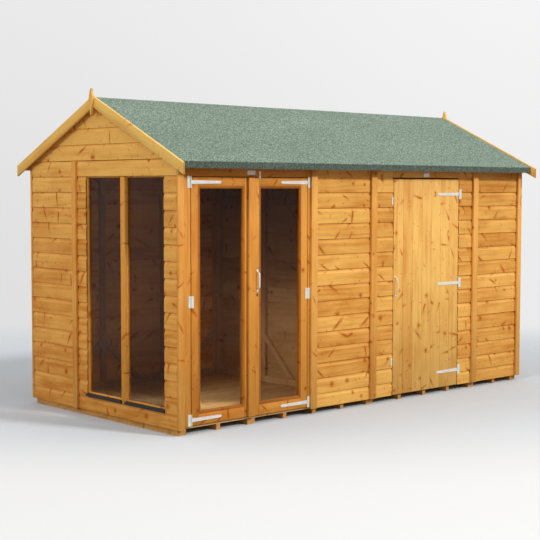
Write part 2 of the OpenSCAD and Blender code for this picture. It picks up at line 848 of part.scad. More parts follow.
// Glazed leaf from x0 to x1 whose light runs from g0 to g1.
module leaf(x0, x1, g0, g1) {
    z0 = leaf_z0 + bottom_rail_b;
    z1 = leaf_z1 - top_rail_b;
    difference() {
        span([x0, 0, leaf_z0], [x1, leaf_t, leaf_z1]);
        span([g0, -1, z0], [g1, leaf_t + 1, z1]);
        span([g0 - pane_lap, door_pane_set, z0 - pane_lap],
             [g1 + pane_lap, leaf_t + 1, z1 + pane_lap]);
    }
}

// Pane behind the light of a leaf.
module leaf_pane(g0, g1) {
    lap = pane_lap - pane_play;
    span([g0 - lap, door_pane_set, leaf_z0 + bottom_rail_b - lap],
         [g1 + lap, door_pane_set + pane_t, leaf_z1 - top_rail_b + lap]);
}

module left_door_frame() {
    color(pine) place()
        leaf(left_x0, left_x1, left_x0 + hinge_stile_b, left_x1 - left_meeting_b);
}

module left_door_pane() {
    color(clear_glass) place()
        leaf_pane(left_x0 + hinge_stile_b, left_x1 - left_meeting_b);
}

module right_door_frame() {
    color(pine) place()
        leaf(right_x0, right_x1, right_x0 + right_meeting_b, right_x1 - hinge_stile_b);
}

module right_door_pane() {
    color(clear_glass) place()
        leaf_pane(right_x0 + right_meeting_b, right_x1 - hinge_stile_b);
}

module right_door_meeting_strip() {
    color(pine) place()
        span([right_x0, -strip_t, leaf_z0], [right_x0 + meeting_strip_b, 0, leaf_z1]);
}

module right_door_handle() {
    out = hinge_t + pull_reach + pull_grip_d / 2;
    leg_z = (pull_l - pull_foot_h) / 2;
    color(zinc) place() translate([handle_x, 0, pull_z]) {
        for (side = [-1, 1]) {
            span([-pull_foot_b / 2, -hinge_t, side * leg_z - pull_foot_h / 2],
                 [pull_foot_b / 2, 0, side * leg_z + pull_foot_h / 2]);
            translate([0, 0, side * leg_z]) rotate([90, 0, 0])
                cylinder(d = pull_grip_d, h = out, $fn = 48);
        }
        translate([0, -out, -leg_z - pull_grip_d / 2])
            cylinder(d = pull_grip_d, h = 2 * leg_z + pull_grip_d, $fn = 48);
    }
}

module store_door_boards() {
    color(pale_pine) place()
        span([store_x + door_gap, 0, store_foot_z], [store_x1 - door_gap, clad_t, leaf_z1]);
}

module store_door_ledges() {
    x0 = store_x + door_gap + ledge_inset;
    x1 = store_x1 - door_gap - ledge_inset;
    color(inner_pine) place() {
        for (z = ledge_z) {
            span([x0, clad_t, z - ledge_b / 2], [x1, clad_t + ledge_t, z + ledge_b / 2]);
        }
        for (k = [0, 1]) {
            along_y(clad_t, clad_t + ledge_t) polygon([
                [x1 - brace_foot, ledge_z[k]],
                [x1, ledge_z[k]],
                [x0 + brace_foot, ledge_z[k + 1]],
                [x0, ledge_z[k + 1]]
            ]);
        }
    }
}

module store_door_handle() {
    out = hinge_t + bow_reach + bow_d / 2;
    color(zinc) place() translate([bow_x, 0, bow_z]) {
        for (side = [-1, 1]) {
            span([-bow_plate_b / 2, -hinge_t, side * bow_l / 2 - bow_plate_b / 2],
                 [bow_plate_b / 2, 0, side * bow_l / 2 + bow_plate_b / 2]);
            translate([0, 0, side * bow_l / 2]) rotate([90, 0, 0])
                cylinder(d = bow_d, h = out, $fn = 48);
        }
        translate([0, -out, -bow_l / 2 - bow_d / 2])
            cylinder(d = bow_d, h = bow_l + bow_d, $fn = 48);
    }
}

floor_bearers();
floor_boards();
front_door_posts();
front_lintel();
front_wall_middle();
front_wall_beside_store_door();
front_wall_over_store_door();
front_wall_past_store_door();
front_wall_right();
back_wall();
window_gable_wall();
store_gable_wall();
partition_boards();
partition_frame();
front_wall_frame();
back_wall_frame();
window_gable_frame();
store_gable_frame();
window_frame();
window_panes();
window_sills();
front_cover_strips();
back_cover_strips();
gable_cover_strips();
roof_boards_front();
roof_boards_back();
ridge_and_purlins();
roof_felt();
eave_battens();
window_gable_bargeboards();
store_gable_bargeboards();
finials();
hinge_plates();
left_door_frame();
left_door_pane();
left_door_hinges();
right_door_frame();
right_door_pane();
right_door_hinges();
right_door_meeting_strip();
right_door_handle();
store_door_boards();
store_door_ledges();
store_door_hinges();
store_door_handle();
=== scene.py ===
from math import ceil, cos, pi, radians, sin, tan

import bpy
import numpy as np
from mathutils import Matrix, Vector


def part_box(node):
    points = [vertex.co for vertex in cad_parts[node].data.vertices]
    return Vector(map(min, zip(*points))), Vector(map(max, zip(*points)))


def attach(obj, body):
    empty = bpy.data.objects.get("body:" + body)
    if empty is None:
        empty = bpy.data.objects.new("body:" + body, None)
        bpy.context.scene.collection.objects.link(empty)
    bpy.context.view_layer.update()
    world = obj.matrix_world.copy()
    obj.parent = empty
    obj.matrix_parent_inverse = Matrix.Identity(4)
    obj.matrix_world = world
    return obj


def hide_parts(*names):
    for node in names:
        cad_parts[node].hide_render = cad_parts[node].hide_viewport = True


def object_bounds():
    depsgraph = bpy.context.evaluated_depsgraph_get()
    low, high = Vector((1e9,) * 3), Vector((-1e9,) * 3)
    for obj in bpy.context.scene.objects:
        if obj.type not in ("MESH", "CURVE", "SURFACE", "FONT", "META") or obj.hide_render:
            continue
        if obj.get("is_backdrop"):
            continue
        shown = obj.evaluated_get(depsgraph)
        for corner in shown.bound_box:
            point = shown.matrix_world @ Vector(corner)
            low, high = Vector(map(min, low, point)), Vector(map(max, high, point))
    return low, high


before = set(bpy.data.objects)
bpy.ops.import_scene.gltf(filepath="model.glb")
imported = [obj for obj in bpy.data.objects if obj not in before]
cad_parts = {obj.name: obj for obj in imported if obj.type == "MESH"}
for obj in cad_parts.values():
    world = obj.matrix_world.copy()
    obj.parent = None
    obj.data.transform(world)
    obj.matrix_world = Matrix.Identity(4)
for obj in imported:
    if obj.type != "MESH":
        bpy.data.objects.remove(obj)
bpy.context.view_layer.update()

# ---------------------------------------------------------------- floor
# Tongued and grooved pine boards, nailed down in four sections over sawn bearers. The bearers
# stand on the ground singly, and in pairs where two sections meet.

rng = np.random.default_rng(23)
wall_low = np.array(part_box("window_gable_wall")[0])
wall_high = np.array(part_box("store_gable_wall")[1])
left_x, front_y, foot_z = wall_low
right_x, back_y, apex_z = wall_high
middle_y = (front_y + back_y) / 2
pitch = radians(25.2)
rise = tan(pitch)
eave_z = apex_z - rise * (back_y - middle_y)


def connect(tree, node, inputs):
    """Gives a shader node its inputs, each a plain value or another node's socket."""
    for key, value in inputs.items():
        if isinstance(value, bpy.types.NodeSocket):
            tree.links.new(value, node.inputs[key])
        else:
            node.inputs[key].default_value = value


def add(tree, kind, inputs={}, **settings):
    """Adds a shader node with its settings and inputs."""
    made = tree.nodes.new("ShaderNode" + kind)
    for name, value in settings.items():
        setattr(made, name, value)
    connect(tree, made, inputs)
    return made


def sums(tree, operation, *values):
    """Result of one Math node on plain values or sockets."""
    return add(tree, "Math", dict(enumerate(values)), operation=operation).outputs[0]


def fade(tree, value, low, high, start=0.0, end=1.0):
    """Smooth step of a value from low to high, put out between start and end."""
    steps = {0: value, 1: low, 2: high, 3: start, 4: end}
    return add(tree, "MapRange", steps, interpolation_type="SMOOTHSTEP").outputs[0]


def vectors(tree, operation, *values):
    """Result of one Vector Math node on plain vectors or sockets."""
    return add(tree, "VectorMath", dict(enumerate(values)), operation=operation).outputs[0]


def mix(tree, share, first, second, kind="MIX"):
    """Colour mixed from two colours by a share."""
    inputs = {0: share, 6: first, 7: second}
    return add(tree, "Mix", inputs, data_type="RGBA", blend_type=kind).outputs[2]


def tinted(tree, first, second):
    """Colour multiplied by another."""
    return mix(tree, 1.0, first, second, "MULTIPLY")


def even(tree, level):
    """Colour without a hue, of one level."""
    return add(tree, "CombineColor", {0: level, 1: level, 2: level}).outputs[0]


def split(tree, vector):
    """The three parts of a vector."""
    return add(tree, "SeparateXYZ", {0: vector}).outputs


def own_place(tree):
    """Place of the shaded point in its object's own coordinates."""
    return add(tree, "TexCoord").outputs["Object"]


def noise(tree, place, scale, detail=2.0):
    """Noise between 0 and 1 over a place that is stretched by three scales."""
    inputs = {"Vector": vectors(tree, "MULTIPLY", place, scale), "Scale": 1.0, "Detail": detail}
    return add(tree, "TexNoise", inputs).outputs


def colour(red, green, blue):
    """A finish given as 0 to 255 display levels, made linear."""
    level = np.array((red, green, blue)) / 255
    linear = np.where(level <= 0.04045, level / 12.92, ((level + 0.055) / 1.055) ** 2.4)
    return (*map(float, linear), 1.0)


def new_finish(name):
    """Fresh material, with its node tree and its shader."""
    material = bpy.data.materials.new(name)
    material.use_nodes = True
    tree = material.node_tree
    return material, tree, tree.nodes["Principled BSDF"]


def new_group(name, inputs, outputs):
    """Empty shader group with named sockets, given as name and kind."""
    tree = bpy.data.node_groups.new(name, "ShaderNodeTree")
    for label, kind in inputs.items():
        tree.interface.new_socket(label, in_out="INPUT", socket_type="NodeSocket" + kind)
    for label, kind in outputs.items():
        tree.interface.new_socket(label, in_out="OUTPUT", socket_type="NodeSocket" + kind)
    return tree, tree.nodes.new("NodeGroupInput").outputs, tree.nodes.new("NodeGroupOutput")


def pine_knots(tree, flat, share, size):
    """Masks of the knots and of the disturbed grain round them. Knots are the points of a cell
    pattern. A round one is an oval. A branch that was sawn along shows as a spike that leans
    out of that point, and where the plank is folded along the point the spikes make a V."""
    cells = add(tree, "TexVoronoi", {"Vector": flat, "Scale": 7.0, "Randomness": 1.0},
                voronoi_dimensions="2D").outputs
    chance = add(tree, "SeparateColor", {0: cells["Color"]}).outputs
    offset = vectors(tree, "SUBTRACT", flat, cells["Position"])
    rough = noise(tree, flat, (60.0, 60.0, 60.0))["Color"]
    rough = vectors(tree, "MULTIPLY", vectors(tree, "SUBTRACT", rough, (0.5, 0.5, 0.5)),
                    (0.007, 0.007, 0.0))
    offset = split(tree, vectors(tree, "ADD", offset, rough))
    paired = sums(tree, "GREATER_THAN", chance[0], 0.93)
    folded = sums(tree, "SUBTRACT", sums(tree, "ABSOLUTE", offset[0]), offset[0])
    along = sums(tree, "MULTIPLY_ADD", folded, paired, offset[0])
    lean = fade(tree, chance[0], 0.0, 1.0, -1.1, 1.2)
    local = add(tree, "CombineXYZ", {0: along, 1: offset[1]}).outputs[0]
    turned = add(tree, "VectorRotate", {"Vector": local, "Angle": lean}, rotation_type="Z_AXIS")
    turned = split(tree, turned.outputs[0])
    spiked = sums(tree, "GREATER_THAN", chance[1], 0.38)
    reach = sums(tree, "MULTIPLY_ADD", spiked, 2.3, 1.0)
    start = sums(tree, "MULTIPLY_ADD", size, sums(tree, "MULTIPLY", reach, -0.8), turned[1])
    length = sums(tree, "DIVIDE", start, reach)
    breadth = sums(tree, "MULTIPLY", turned[0], sums(tree, "MULTIPLY_ADD", spiked, 0.9, 1.0))
    squares = [sums(tree, "POWER", sums(tree, "ABSOLUTE", part), 2.0) for part in (length, breadth)]
    oval = sums(tree, "SQRT", sums(tree, "ADD", *squares))
    span = sums(tree, "MULTIPLY", size, fade(tree, chance[2], 0.0, 1.0, 0.5, 1.15))
    away = sums(tree, "DIVIDE", oval, span)
    there = sums(tree, "LESS_THAN", chance[2], share)
    core = sums(tree, "MULTIPLY", there, fade(tree, away, 0.4, 1.25, 1.0, 0.0))
    rim = sums(tree, "ABSOLUTE", sums(tree, "SUBTRACT", away, 0.9))
    rim = sums(tree, "MULTIPLY", there, fade(tree, rim, 0.0, 0.3, 1.0, 0.0))
    halo = sums(tree, "MULTIPLY", there, fade(tree, away, 0.6, 3.8, 1.0, 0.0))
    return core, rim, halo


def sawn_pine_group():
    """Solid pine by its place in the tree. Growth rings are a sine of the distance from a pith
    that wanders along the plank, and they swell round the knots. Fine fibres, streaks of late
    wood and broad patches vary the colour, and a painted shade darkens the wood towards the
    ground, standing in for the light falling off there."""
    tree, given, out = new_group("sawn_pine", {
        "Plank": "Vector", "Tone": "Float", "Cut end": "Float", "Early wood": "Color",
        "Late wood": "Color", "Knot": "Color", "Knot share": "Float", "Knot size": "Float"},
        {"Color": "Color", "Roughness": "Float", "Height": "Float"})
    plank = given["Plank"]
    flat = vectors(tree, "MULTIPLY", plank, (1.0, 1.0, 0.0))
    core, rim, halo = pine_knots(tree, flat, given["Knot share"], given["Knot size"])
    close = vectors(tree, "MULTIPLY_ADD", flat, (2.4, 2.4, 0.0), (3.7, 8.3, 0.0))
    fewer = sums(tree, "MULTIPLY", given["Knot share"], 0.45)
    pins = pine_knots(tree, close, fewer, given["Knot size"])
    core, rim, halo = (sums(tree, "MAXIMUM", large, sums(tree, "MULTIPLY", small, 0.8))
                       for large, small in zip((core, rim, halo), pins))
    shift = vectors(tree, "SUBTRACT", noise(tree, plank, (0.9, 3.0, 3.0))["Color"], (0.5, 0.5, 0.5))
    moved = vectors(tree, "ADD", plank, vectors(tree, "MULTIPLY", shift, (0.0, 0.1, 0.1)))
    across = vectors(tree, "MULTIPLY", moved, (0.0, 1.0, 1.0))
    pith = add(tree, "VectorMath", {0: across}, operation="LENGTH").outputs["Value"]
    phase = sums(tree, "MULTIPLY_ADD", pith, 2 * pi / 0.0055, sums(tree, "MULTIPLY", halo, 8.0))
    ring = fade(tree, sums(tree, "SINE", phase), -0.3, 1.0)
    fibre = noise(tree, moved, (5.0, 300.0, 300.0), 3.0)[0]
    streak = noise(tree, moved, (1.6, 34.0, 34.0), 3.0)[0]
    patch = noise(tree, plank, (3.5, 7.0, 7.0), 3.0)[0]
    late = sums(tree, "MULTIPLY", ring, fade(tree, patch, 0.3, 0.75, 0.10, 0.42))
    for part in (fade(tree, streak, 0.38, 0.78, 0.0, 0.42), fade(tree, patch, 0.25, 0.8, -0.08, 0.22),
                 fade(tree, given["Tone"], -1.0, 1.0, -0.74, 0.3), sums(tree, "MULTIPLY", halo, 0.3)):
        late = sums(tree, "ADD", late, part)
    late = add(tree, "Clamp", {0: late}).outputs[0]
    wood = mix(tree, late, given["Early wood"], given["Late wood"])
    wood = tinted(tree, wood, even(tree, fade(tree, fibre, 0.25, 0.8, 1.04, 0.9)))
    warm = mix(tree, 0.6, given["Knot"], given["Late wood"])
    wood = mix(tree, sums(tree, "MULTIPLY", halo, 0.6), wood, warm)
    wood = mix(tree, sums(tree, "MULTIPLY", core, 0.8), wood, given["Knot"])
    deep = tinted(tree, given["Knot"], (0.7, 0.5, 0.4, 1.0))
    wood = mix(tree, sums(tree, "MULTIPLY", rim, 0.42), wood, deep)
    # Painted shade: the wood darkens towards the ground, standing in for the light falling off there.
    ground_shade = fade(tree, split(tree, own_place(tree))[2], 0.0, 0.9, 0.86, 1.0)
    wood = tinted(tree, wood, even(tree, ground_shade))
    ends = tinted(tree, wood, (0.62, 0.55, 0.5, 1.0))
    raised = sums(tree, "ADD", sums(tree, "MULTIPLY", ring, 0.4), sums(tree, "MULTIPLY", fibre, 0.6))
    connect(tree, out, {"Color": mix(tree, given["Cut end"], wood, ends),
                        "Roughness": fade(tree, fibre, 0.2, 0.8, 0.42, 0.62),
                        "Height": sums(tree, "MULTIPLY_ADD", rim, -0.6, raised)})
    return tree


sawn_pine = sawn_pine_group()


def pine(name, early, late, knot, knot_share=0.55, knot_size=0.009, along=None):
    """Satin pine finish on the group's colour, roughness and grain. Without along it reads the
    plank attributes; with along (0, 1 or 2) it reads the object's own coordinates that way."""
    material, tree, shader = new_finish(name)
    if along is None:
        plank = add(tree, "Attribute", attribute_name="plank").outputs["Vector"]
        tone = add(tree, "Attribute", attribute_name="tone").outputs["Fac"]
        cut = add(tree, "Attribute", attribute_name="cut_end").outputs["Fac"]
    else:
        spin = [(0, 0, 0), (0, 0, pi / 2), (0, pi / 2, 0)][along]
        turned = {0: own_place(tree), 1: (3.1, 0.02, 0.05), "Rotation": spin}
        plank = add(tree, "Mapping", turned).outputs[0]
        tone, cut = 0.5, 0.0
    look = add(tree, "Group", {
        "Plank": plank, "Tone": tone, "Cut end": cut, "Early wood": colour(*early),
        "Late wood": colour(*late), "Knot": colour(*knot), "Knot share": knot_share,
        "Knot size": knot_size}, node_tree=sawn_pine).outputs
    bump = add(tree, "Bump", {"Height": look["Height"], "Strength": 0.5, "Distance": 0.0006})
    connect(tree, shader, {"Base Color": look["Color"], "Roughness": look["Roughness"],
                           "Normal": bump.outputs[0], "Specular IOR Level": 0.14})
    return material


def in_scene(name, data):
    """Puts a mesh, a lamp or a camera into the scene as an object."""
    made = bpy.data.objects.new(name, data)
    bpy.context.scene.collection.objects.link(made)
    return made


def mesh_piece(name, points, faces, finish, body, nodes=()):
    """Mesh object that rides on a body and stands for the given nodes."""
    mesh = bpy.data.meshes.new(name)
    mesh.from_pydata(points, [], faces)
    mesh.shade_smooth()
    mesh.set_sharp_from_angle(angle=radians(38))
    mesh.materials.append(finish)
    piece = in_scene(name, mesh)
    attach(piece, body)
    if nodes:
        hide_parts(*nodes)
    return piece


def skin(steps, around, first=0):
    """Faces of a closed bar whose points are numbered from first, ring by ring from end to end:
    quads tie each ring to the next, and both ends have a cap."""
    number = first + np.arange(steps * around).reshape(steps, around)
    after = np.roll(number, -1, axis=1)
    sides = np.stack([number[:-1], after[:-1], after[1:], number[1:]], axis=-1)
    return sides.reshape(-1, 4).tolist() + [number[0, ::-1].tolist(), number[-1].tolist()]


def timber(name, bars, body, slot, finish, *nodes, tones=()):
    """Joins bars into one piece. A bar is rings of points from end to end. With the points go
    the grain's own coordinates (along, across and into the bar, moved to a place of their own),
    a tone and a mark on cut ends. The first bars take their tones from the list, and the others
    one at random."""
    points, faces, plank, tone, cut_end = [], [], [], [], []
    first = 0
    for count, (rings, axes) in enumerate(bars):
        steps, around = rings.shape[:2]
        area = np.cross(rings[0], np.roll(rings[0], -1, axis=0)).sum(axis=0)
        if area @ (rings[-1].mean(axis=0) - rings[0].mean(axis=0)) < 0:
            rings = rings[:, ::-1]
        faces += skin(steps, around, first)
        local = rings @ np.array(axes, float).T
        local = local - local.reshape(-1, 3).mean(axis=0)
        plank.append(local + (rng.uniform(1, 60), rng.uniform(1, 9), rng.uniform(0.03, 0.08)))
        chance = rng.uniform(0, 1)
        tone.append(np.full((steps, around), tones[count] if count < len(tones) else chance))
        ends = np.zeros((steps, around))
        ends[[0, -1]] = 1
        cut_end.append(ends)
        points.append(rings)
        first += steps * around
    piece = mesh_piece(name, np.concatenate([p.reshape(-1, 3) for p in points]), faces,
                       finish, body, nodes)
    stored = piece.data.attributes.new("plank", "FLOAT_VECTOR", "POINT")
    stored.data.foreach_set("vector", np.concatenate([p.ravel() for p in plank]))
    for label, values in (("tone", tone), ("cut_end", cut_end)):
        stored = piece.data.attributes.new(label, "FLOAT", "POINT")
        stored.data.foreach_set("value", np.concatenate([v.ravel() for v in values]))
    return piece


def bar(low, high, run, edge=0.0016):
    """Sawn bar between two corners, along axis run. Its section is a rectangle with each corner
    turned through a quarter circle, and the end rings are drawn in by most of that radius."""
    low, high = np.array(low, float), np.array(high, float)
    wide, deep = sorted((k for k in range(3) if k != run), key=lambda k: low[k] - high[k])
    half = (high - low)[[wide, deep]] / 2
    turn = np.linspace(0, pi / 2, 3) + np.arange(4)[:, None] * pi / 2
    signs = np.array([(1, 1), (-1, 1), (-1, -1), (1, -1)])
    corners = (signs * (half - edge))[:, None]
    outline = corners + edge * np.stack([np.cos(turn), np.sin(turn)], axis=-1)
    limit = half - np.array([0.8, 0, 0, 0.8])[:, None] * edge
    section = np.clip(outline.reshape(-1, 2), -limit[:, None], limit[:, None])
    length = high[run] - low[run]
    rings = np.zeros((4, 12, 3))
    rings[..., run] = low[run] + np.array([0, edge, length - edge, length])[:, None]
    rings[..., [wide, deep]] = (low + high)[[wide, deep]] / 2 + section
    return rings, np.eye(3)[[run, wide, deep]]


def dress(finish, *nodes):
    """Gives construction nodes that stay as they are their finish."""
    for node in nodes:
        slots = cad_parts[node].data.materials
        slots.clear()
        slots.append(finish)


floor_rows = 15
floor_section_l = (0.627, 1.166, 1.188)
floor_pine = pine("floor_pine", (250, 208, 144), (222, 172, 108), (160, 104, 54), 0.4, 0.008)
bearer_pine = pine("bearer_pine", (226, 170, 98), (184, 120, 56), (128, 66, 28), 0.4, 0.008, along=1)

floor_low, floor_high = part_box("floor_boards")
section_x = [*(floor_low.x + np.cumsum([0, *floor_section_l])), floor_high.x]
rows = np.linspace(floor_low.y, floor_high.y, floor_rows + 1)
timber("floor_tongued", [
    bar((start, near, floor_low.z), (end, far, floor_high.z), 0, 0.001)
    for start, end in zip(section_x[:-1], section_x[1:]) for near, far in zip(rows[:-1], rows[1:])],
    "house", "inner_pine", floor_pine, "floor_boards")
dress(bearer_pine, "floor_bearers")

# ---------------------------------------------------------------- framing
# Sawn studs, rails and corner braces of bare pine carry the cladding. The ridge beam and the
# two purlins run from gable to gable through notches in the partition.

frame_pine = pine("frame_pine", (212, 168, 112), (176, 126, 74), (124, 72, 34), 0.4, 0.007, along=2)
beam_pine = pine("beam_pine", (232, 190, 130), (196, 146, 88), (140, 84, 40), 0.4, 0.007, along=0)
dress(frame_pine, "partition_frame", "front_wall_frame", "back_wall_frame",
      "window_gable_frame", "store_gable_frame")
dress(beam_pine, "ridge_and_purlins")

# ---------------------------------------------------------------- wall cladding
# Shiplap boards of pine, dipped in a honey-coloured preservative and nailed to the framing.
# Each has a scooped top edge and a rebated foot that laps over the board below. Boards stop
# at panel joints, at doorways and windows, and on the gables at the slope of the roof.

board_t = 0.012
board_pitch = 0.1093
first_joint = 0.098
scoop_h = 0.026
scoop_d = 0.0078
tongue_h = 0.0088
rebate_h = 0.0093
rebate_d = 0.0084
arris = 0.0009
trim_gap = 0.0002
honey_pine = pine("honey_pine", (250, 190, 96), (202, 120, 34), (180, 78, 4), 0.6, 0.011)


def shiplap_outline():
    """Depth behind the face and height over the foot, round one board: a flat face, a hollow
    scoop that falls back with the 0.6th power of its height, then tongue, back and rebate."""
    up = np.linspace(0, 1, 9) ** 1.8
    scoop = np.column_stack([scoop_d * up ** 0.6, board_pitch - scoop_h * (1 - up)])
    return np.vstack([
        [(arris, 0.0), (0.0, arris)],
        scoop,
        [(scoop_d, board_pitch + tongue_h), (board_t, board_pitch + tongue_h)],
        [(board_t, rebate_h), (rebate_d, rebate_h), (rebate_d, 0.0)],
    ])


def shiplap(run, face, inward, regions, sloped=False):
    """Boards along axis run, filling each region (start, end, low, high) of a wall whose face
    lies at a height of face on the other axis. Sloped boards end on the line of the roof. Along
    its length a board bows by sines of half a millimetre, at stations under 0.35 m apart."""
    bow, station_l = 0.0005, 0.35
    least_h, end_l = 0.004, 0.002
    outline = shiplap_outline()
    across = 1 - run
    axes = np.eye(3)[[run, 2, across]]
    bars = []
    for start, end, low, high in regions:
        joints = foot_z + first_joint + board_pitch * np.arange(-1, 24)
        for foot in joints[(joints + board_pitch > low + least_h) & (joints < high - least_h)]:
            height = np.clip(foot + outline[:, 1], low, high)
            begin = np.full(len(height), start)
            finish = np.full(len(height), end)
            if sloped:
                cut = np.maximum(height - eave_z, 0) / rise
                begin = np.maximum(begin, front_y + cut)
                finish = np.minimum(finish, back_y - cut)
            length = (finish - begin).max()
            stops = np.linspace(end_l, length - end_l, max(2, ceil(length / station_l) + 1))
            share = np.concatenate([[0], stops, [length]])[:, None] / length
            rings = np.zeros((len(share), len(height), 3))
            rings[..., run] = begin + (finish - begin) * share
            sway = bow * np.sin(4.2 * rings[..., run] + rng.uniform(0, 6))
            warp = bow * np.sin(3.1 * rings[..., run] + rng.uniform(0, 6))
            rings[..., across] = face + inward * (outline[:, 0] + warp + rng.uniform(-2e-4, 6e-4))
            rings[..., 2] = np.clip(height + sway, low, high)
            bars.append((rings, axes))
    return bars


opening_h = 1.6282
opening_z = foot_z + opening_h
head_z = eave_z + 0.005
top_z = apex_z - 0.006
window_low, window_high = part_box("window_frame")
window_edge = 0.022
window_near = window_low.y + window_edge
window_far = window_high.y - window_edge
window_foot = window_low.z + window_edge
gable_joint_y = window_far + 0.1285
strip_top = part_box("gable_cover_strips")[1].z

gable_boards = shiplap(1, left_x, 1, [
    (front_y, gable_joint_y, foot_z, window_foot),
    (gable_joint_y, back_y, foot_z, strip_top - trim_gap),
    (front_y, window_near, window_foot, opening_z),
    (window_far, gable_joint_y, window_foot, opening_z),
    (front_y, gable_joint_y, opening_z, strip_top - trim_gap),
    (front_y, back_y, strip_top - trim_gap, top_z),
], sloped=True)
# The boards of this gable get paler towards the ridge: each keeps a random tone of its own,
# and painted light brightens the top boards and shades the foot.
gable_tones_and_painted_light = [1.0 - 0.13 * (rings[0, 0, 2] - foot_z)**4 + rng.uniform(-0.35, 0.35)
               for rings, _ in gable_boards]
timber("window_gable_cladding", gable_boards, "house", "pine", honey_pine, "window_gable_wall",
       tones=gable_tones_and_painted_light)

timber("store_gable_cladding", shiplap(1, right_x, -1, [
    (front_y, gable_joint_y, foot_z, strip_top - trim_gap),
    (gable_joint_y, back_y, foot_z, strip_top - trim_gap),
    (front_y, back_y, strip_top - trim_gap, top_z),
], sloped=True), "house", "pine", honey_pine, "store_gable_wall")

for node in ("front_wall_middle", "front_wall_beside_store_door",
             "front_wall_over_store_door", "front_wall_past_store_door", "front_wall_right"):
    low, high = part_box(node)
    lowest = max(low.z, opening_z) if "over" in node else foot_z
    timber(node + "_cladding", shiplap(0, front_y, 1, [(low.x, high.x, lowest, head_z)]),
           "house", "pine", honey_pine, node)

middle_low, middle_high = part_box("front_wall_middle")
past_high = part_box("front_wall_past_store_door")[1]
timber("back_wall_cladding", shiplap(0, back_y, -1, [
    (start, end, foot_z, head_z) for start, end in (
        (left_x, middle_low.x), (middle_low.x, middle_high.x),
        (middle_high.x, past_high.x), (past_high.x, right_x))]),
    "house", "pine", honey_pine, "back_wall")

# ---------------------------------------------------------------- partition
# The wall between the room and the store is boarded with the same shiplap, left unstained.
# Its face looks towards the store, and its framing stands in the room.

bare_pine = pine("bare_pine", (206, 162, 104), (164, 116, 66), (116, 66, 30), 0.6, 0.010)
partition_low, partition_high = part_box("partition_boards")
timber("partition_cladding", shiplap(1, partition_high.x, -1, [
    (partition_low.y, partition_high.y, partition_low.z, top_z - 0.02)], sloped=True),
    "house", "inner_pine", bare_pine, "partition_boards")

# ---------------------------------------------------------------- cover strips
# Planed strips with eased edges, nailed over the panel joints and on the corners. They hide
# the ends of the cladding boards and stand out from the wall by their own thickness.

strip_t = 0.018
strip_b = 0.058
corner_b = 0.048
gable_strip_b = 0.050
strip_pine = pine("strip_pine", (242, 178, 90), (210, 132, 46), (184, 82, 6), 0.4, 0.009)

joints_x = [middle_low.x, middle_high.x, past_high.x]
strip_spans = [(x - strip_b / 2, x + strip_b / 2) for x in joints_x]
strip_spans += [(left_x, left_x + corner_b), (right_x - corner_b, right_x)]
for name, near, far in (("front_cover_strips", front_y - strip_t, front_y),
                        ("back_cover_strips", back_y, back_y + strip_t)):
    timber(name + "_planed", [
        bar((start, near, foot_z), (end, far, eave_z - rise * strip_t - 0.001), 2, 0.0022)
        for start, end in strip_spans], "house", "pine", strip_pine, name)

timber("gable_cover_strips_planed", [
    bar((near, gable_joint_y - gable_strip_b / 2, foot_z),
        (far, gable_joint_y + gable_strip_b / 2, strip_top), 2, 0.0022)
    for near, far in ((left_x - strip_t, left_x), (right_x, right_x + strip_t))],
    "house", "pine", strip_pine, "gable_cover_strips")

# ---------------------------------------------------------------- door posts and lintel
# Square posts carry the double doors' hinges, and a deep lintel board joins them over the
# doors. They are planed and stained like the leaves and stand on the floor.

post_t = 0.040
left_post_b = 0.072
right_post_b = 0.050
door_pine = pine("door_pine", (228, 156, 66), (192, 106, 26), (168, 66, 4), 0.5, 0.010)
post_low, post_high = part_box("front_door_posts")
timber("door_posts_planed", [
    bar((start, front_y, post_low.z), (end, front_y + post_t, eave_z), 2)
    for start, end in ((post_low.x, post_low.x + left_post_b),
                       (post_high.x - right_post_b, post_high.x))],
    "house", "pine", door_pine, "front_door_posts", tones=(0.2, 0.1))

# The lintel takes the darkest tone of the stain, a painted shade that deepens the eave's shadow on it.
lintel_low, lintel_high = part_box("front_lintel")
timber("lintel_planed", [
    bar(lintel_low, (lintel_high.x, front_y + post_t, eave_z), 0)],
    "house", "pine", door_pine, "front_lintel", tones=(1.0,))

# ---------------------------------------------------------------- double doors
# Each leaf is two stiles with a rail between them at the head and at the foot. A pane lies in
# their rebate, held by beads mitred at the corners. A strip runs up the right leaf's free edge.

leaf_t = 0.028
bead_b = 0.018
pane_lap = 0.005
pane_back = 0.0195


def beads(flat, low, high, face, inward, depth):
    """Four mitred beads round a light, as profiles carried along its sides: at each corner a
    point of the section moves out on both axes by its distance from the edge of the light."""
    section = np.array([(bead_b, 0.0006), (0.0075, 0.0006), (0.0035, 0.0016), (0.001, 0.004),
                        (0.0, 0.0075), (0.0, depth), (bead_b, depth)])
    corners = [(low[0], low[1], -1, -1), (high[0], low[1], 1, -1),
               (high[0], high[1], 1, 1), (low[0], high[1], -1, 1)]
    made = []
    for across, up, out_a, out_b in corners:
        ring = np.zeros((len(section), 3))
        ring[:, flat] = across + out_a * section[:, 0]
        ring[:, 2] = up + out_b * section[:, 0]
        ring[:, 1 - flat] = face + inward * section[:, 1]
        made.append(ring)
    ways = [[flat, 2, 1 - flat], [2, flat, 1 - flat]] * 2
    return [(np.stack([made[k], made[(k + 1) % 4]]), np.eye(3)[ways[k]]) for k in range(4)]


def light_of(pane):
    """Edges of the light in front of a door pane, inside the rebate."""
    low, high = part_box(pane)
    return (low.x + pane_lap, low.z + pane_lap), (high.x - pane_lap, high.z - pane_lap)


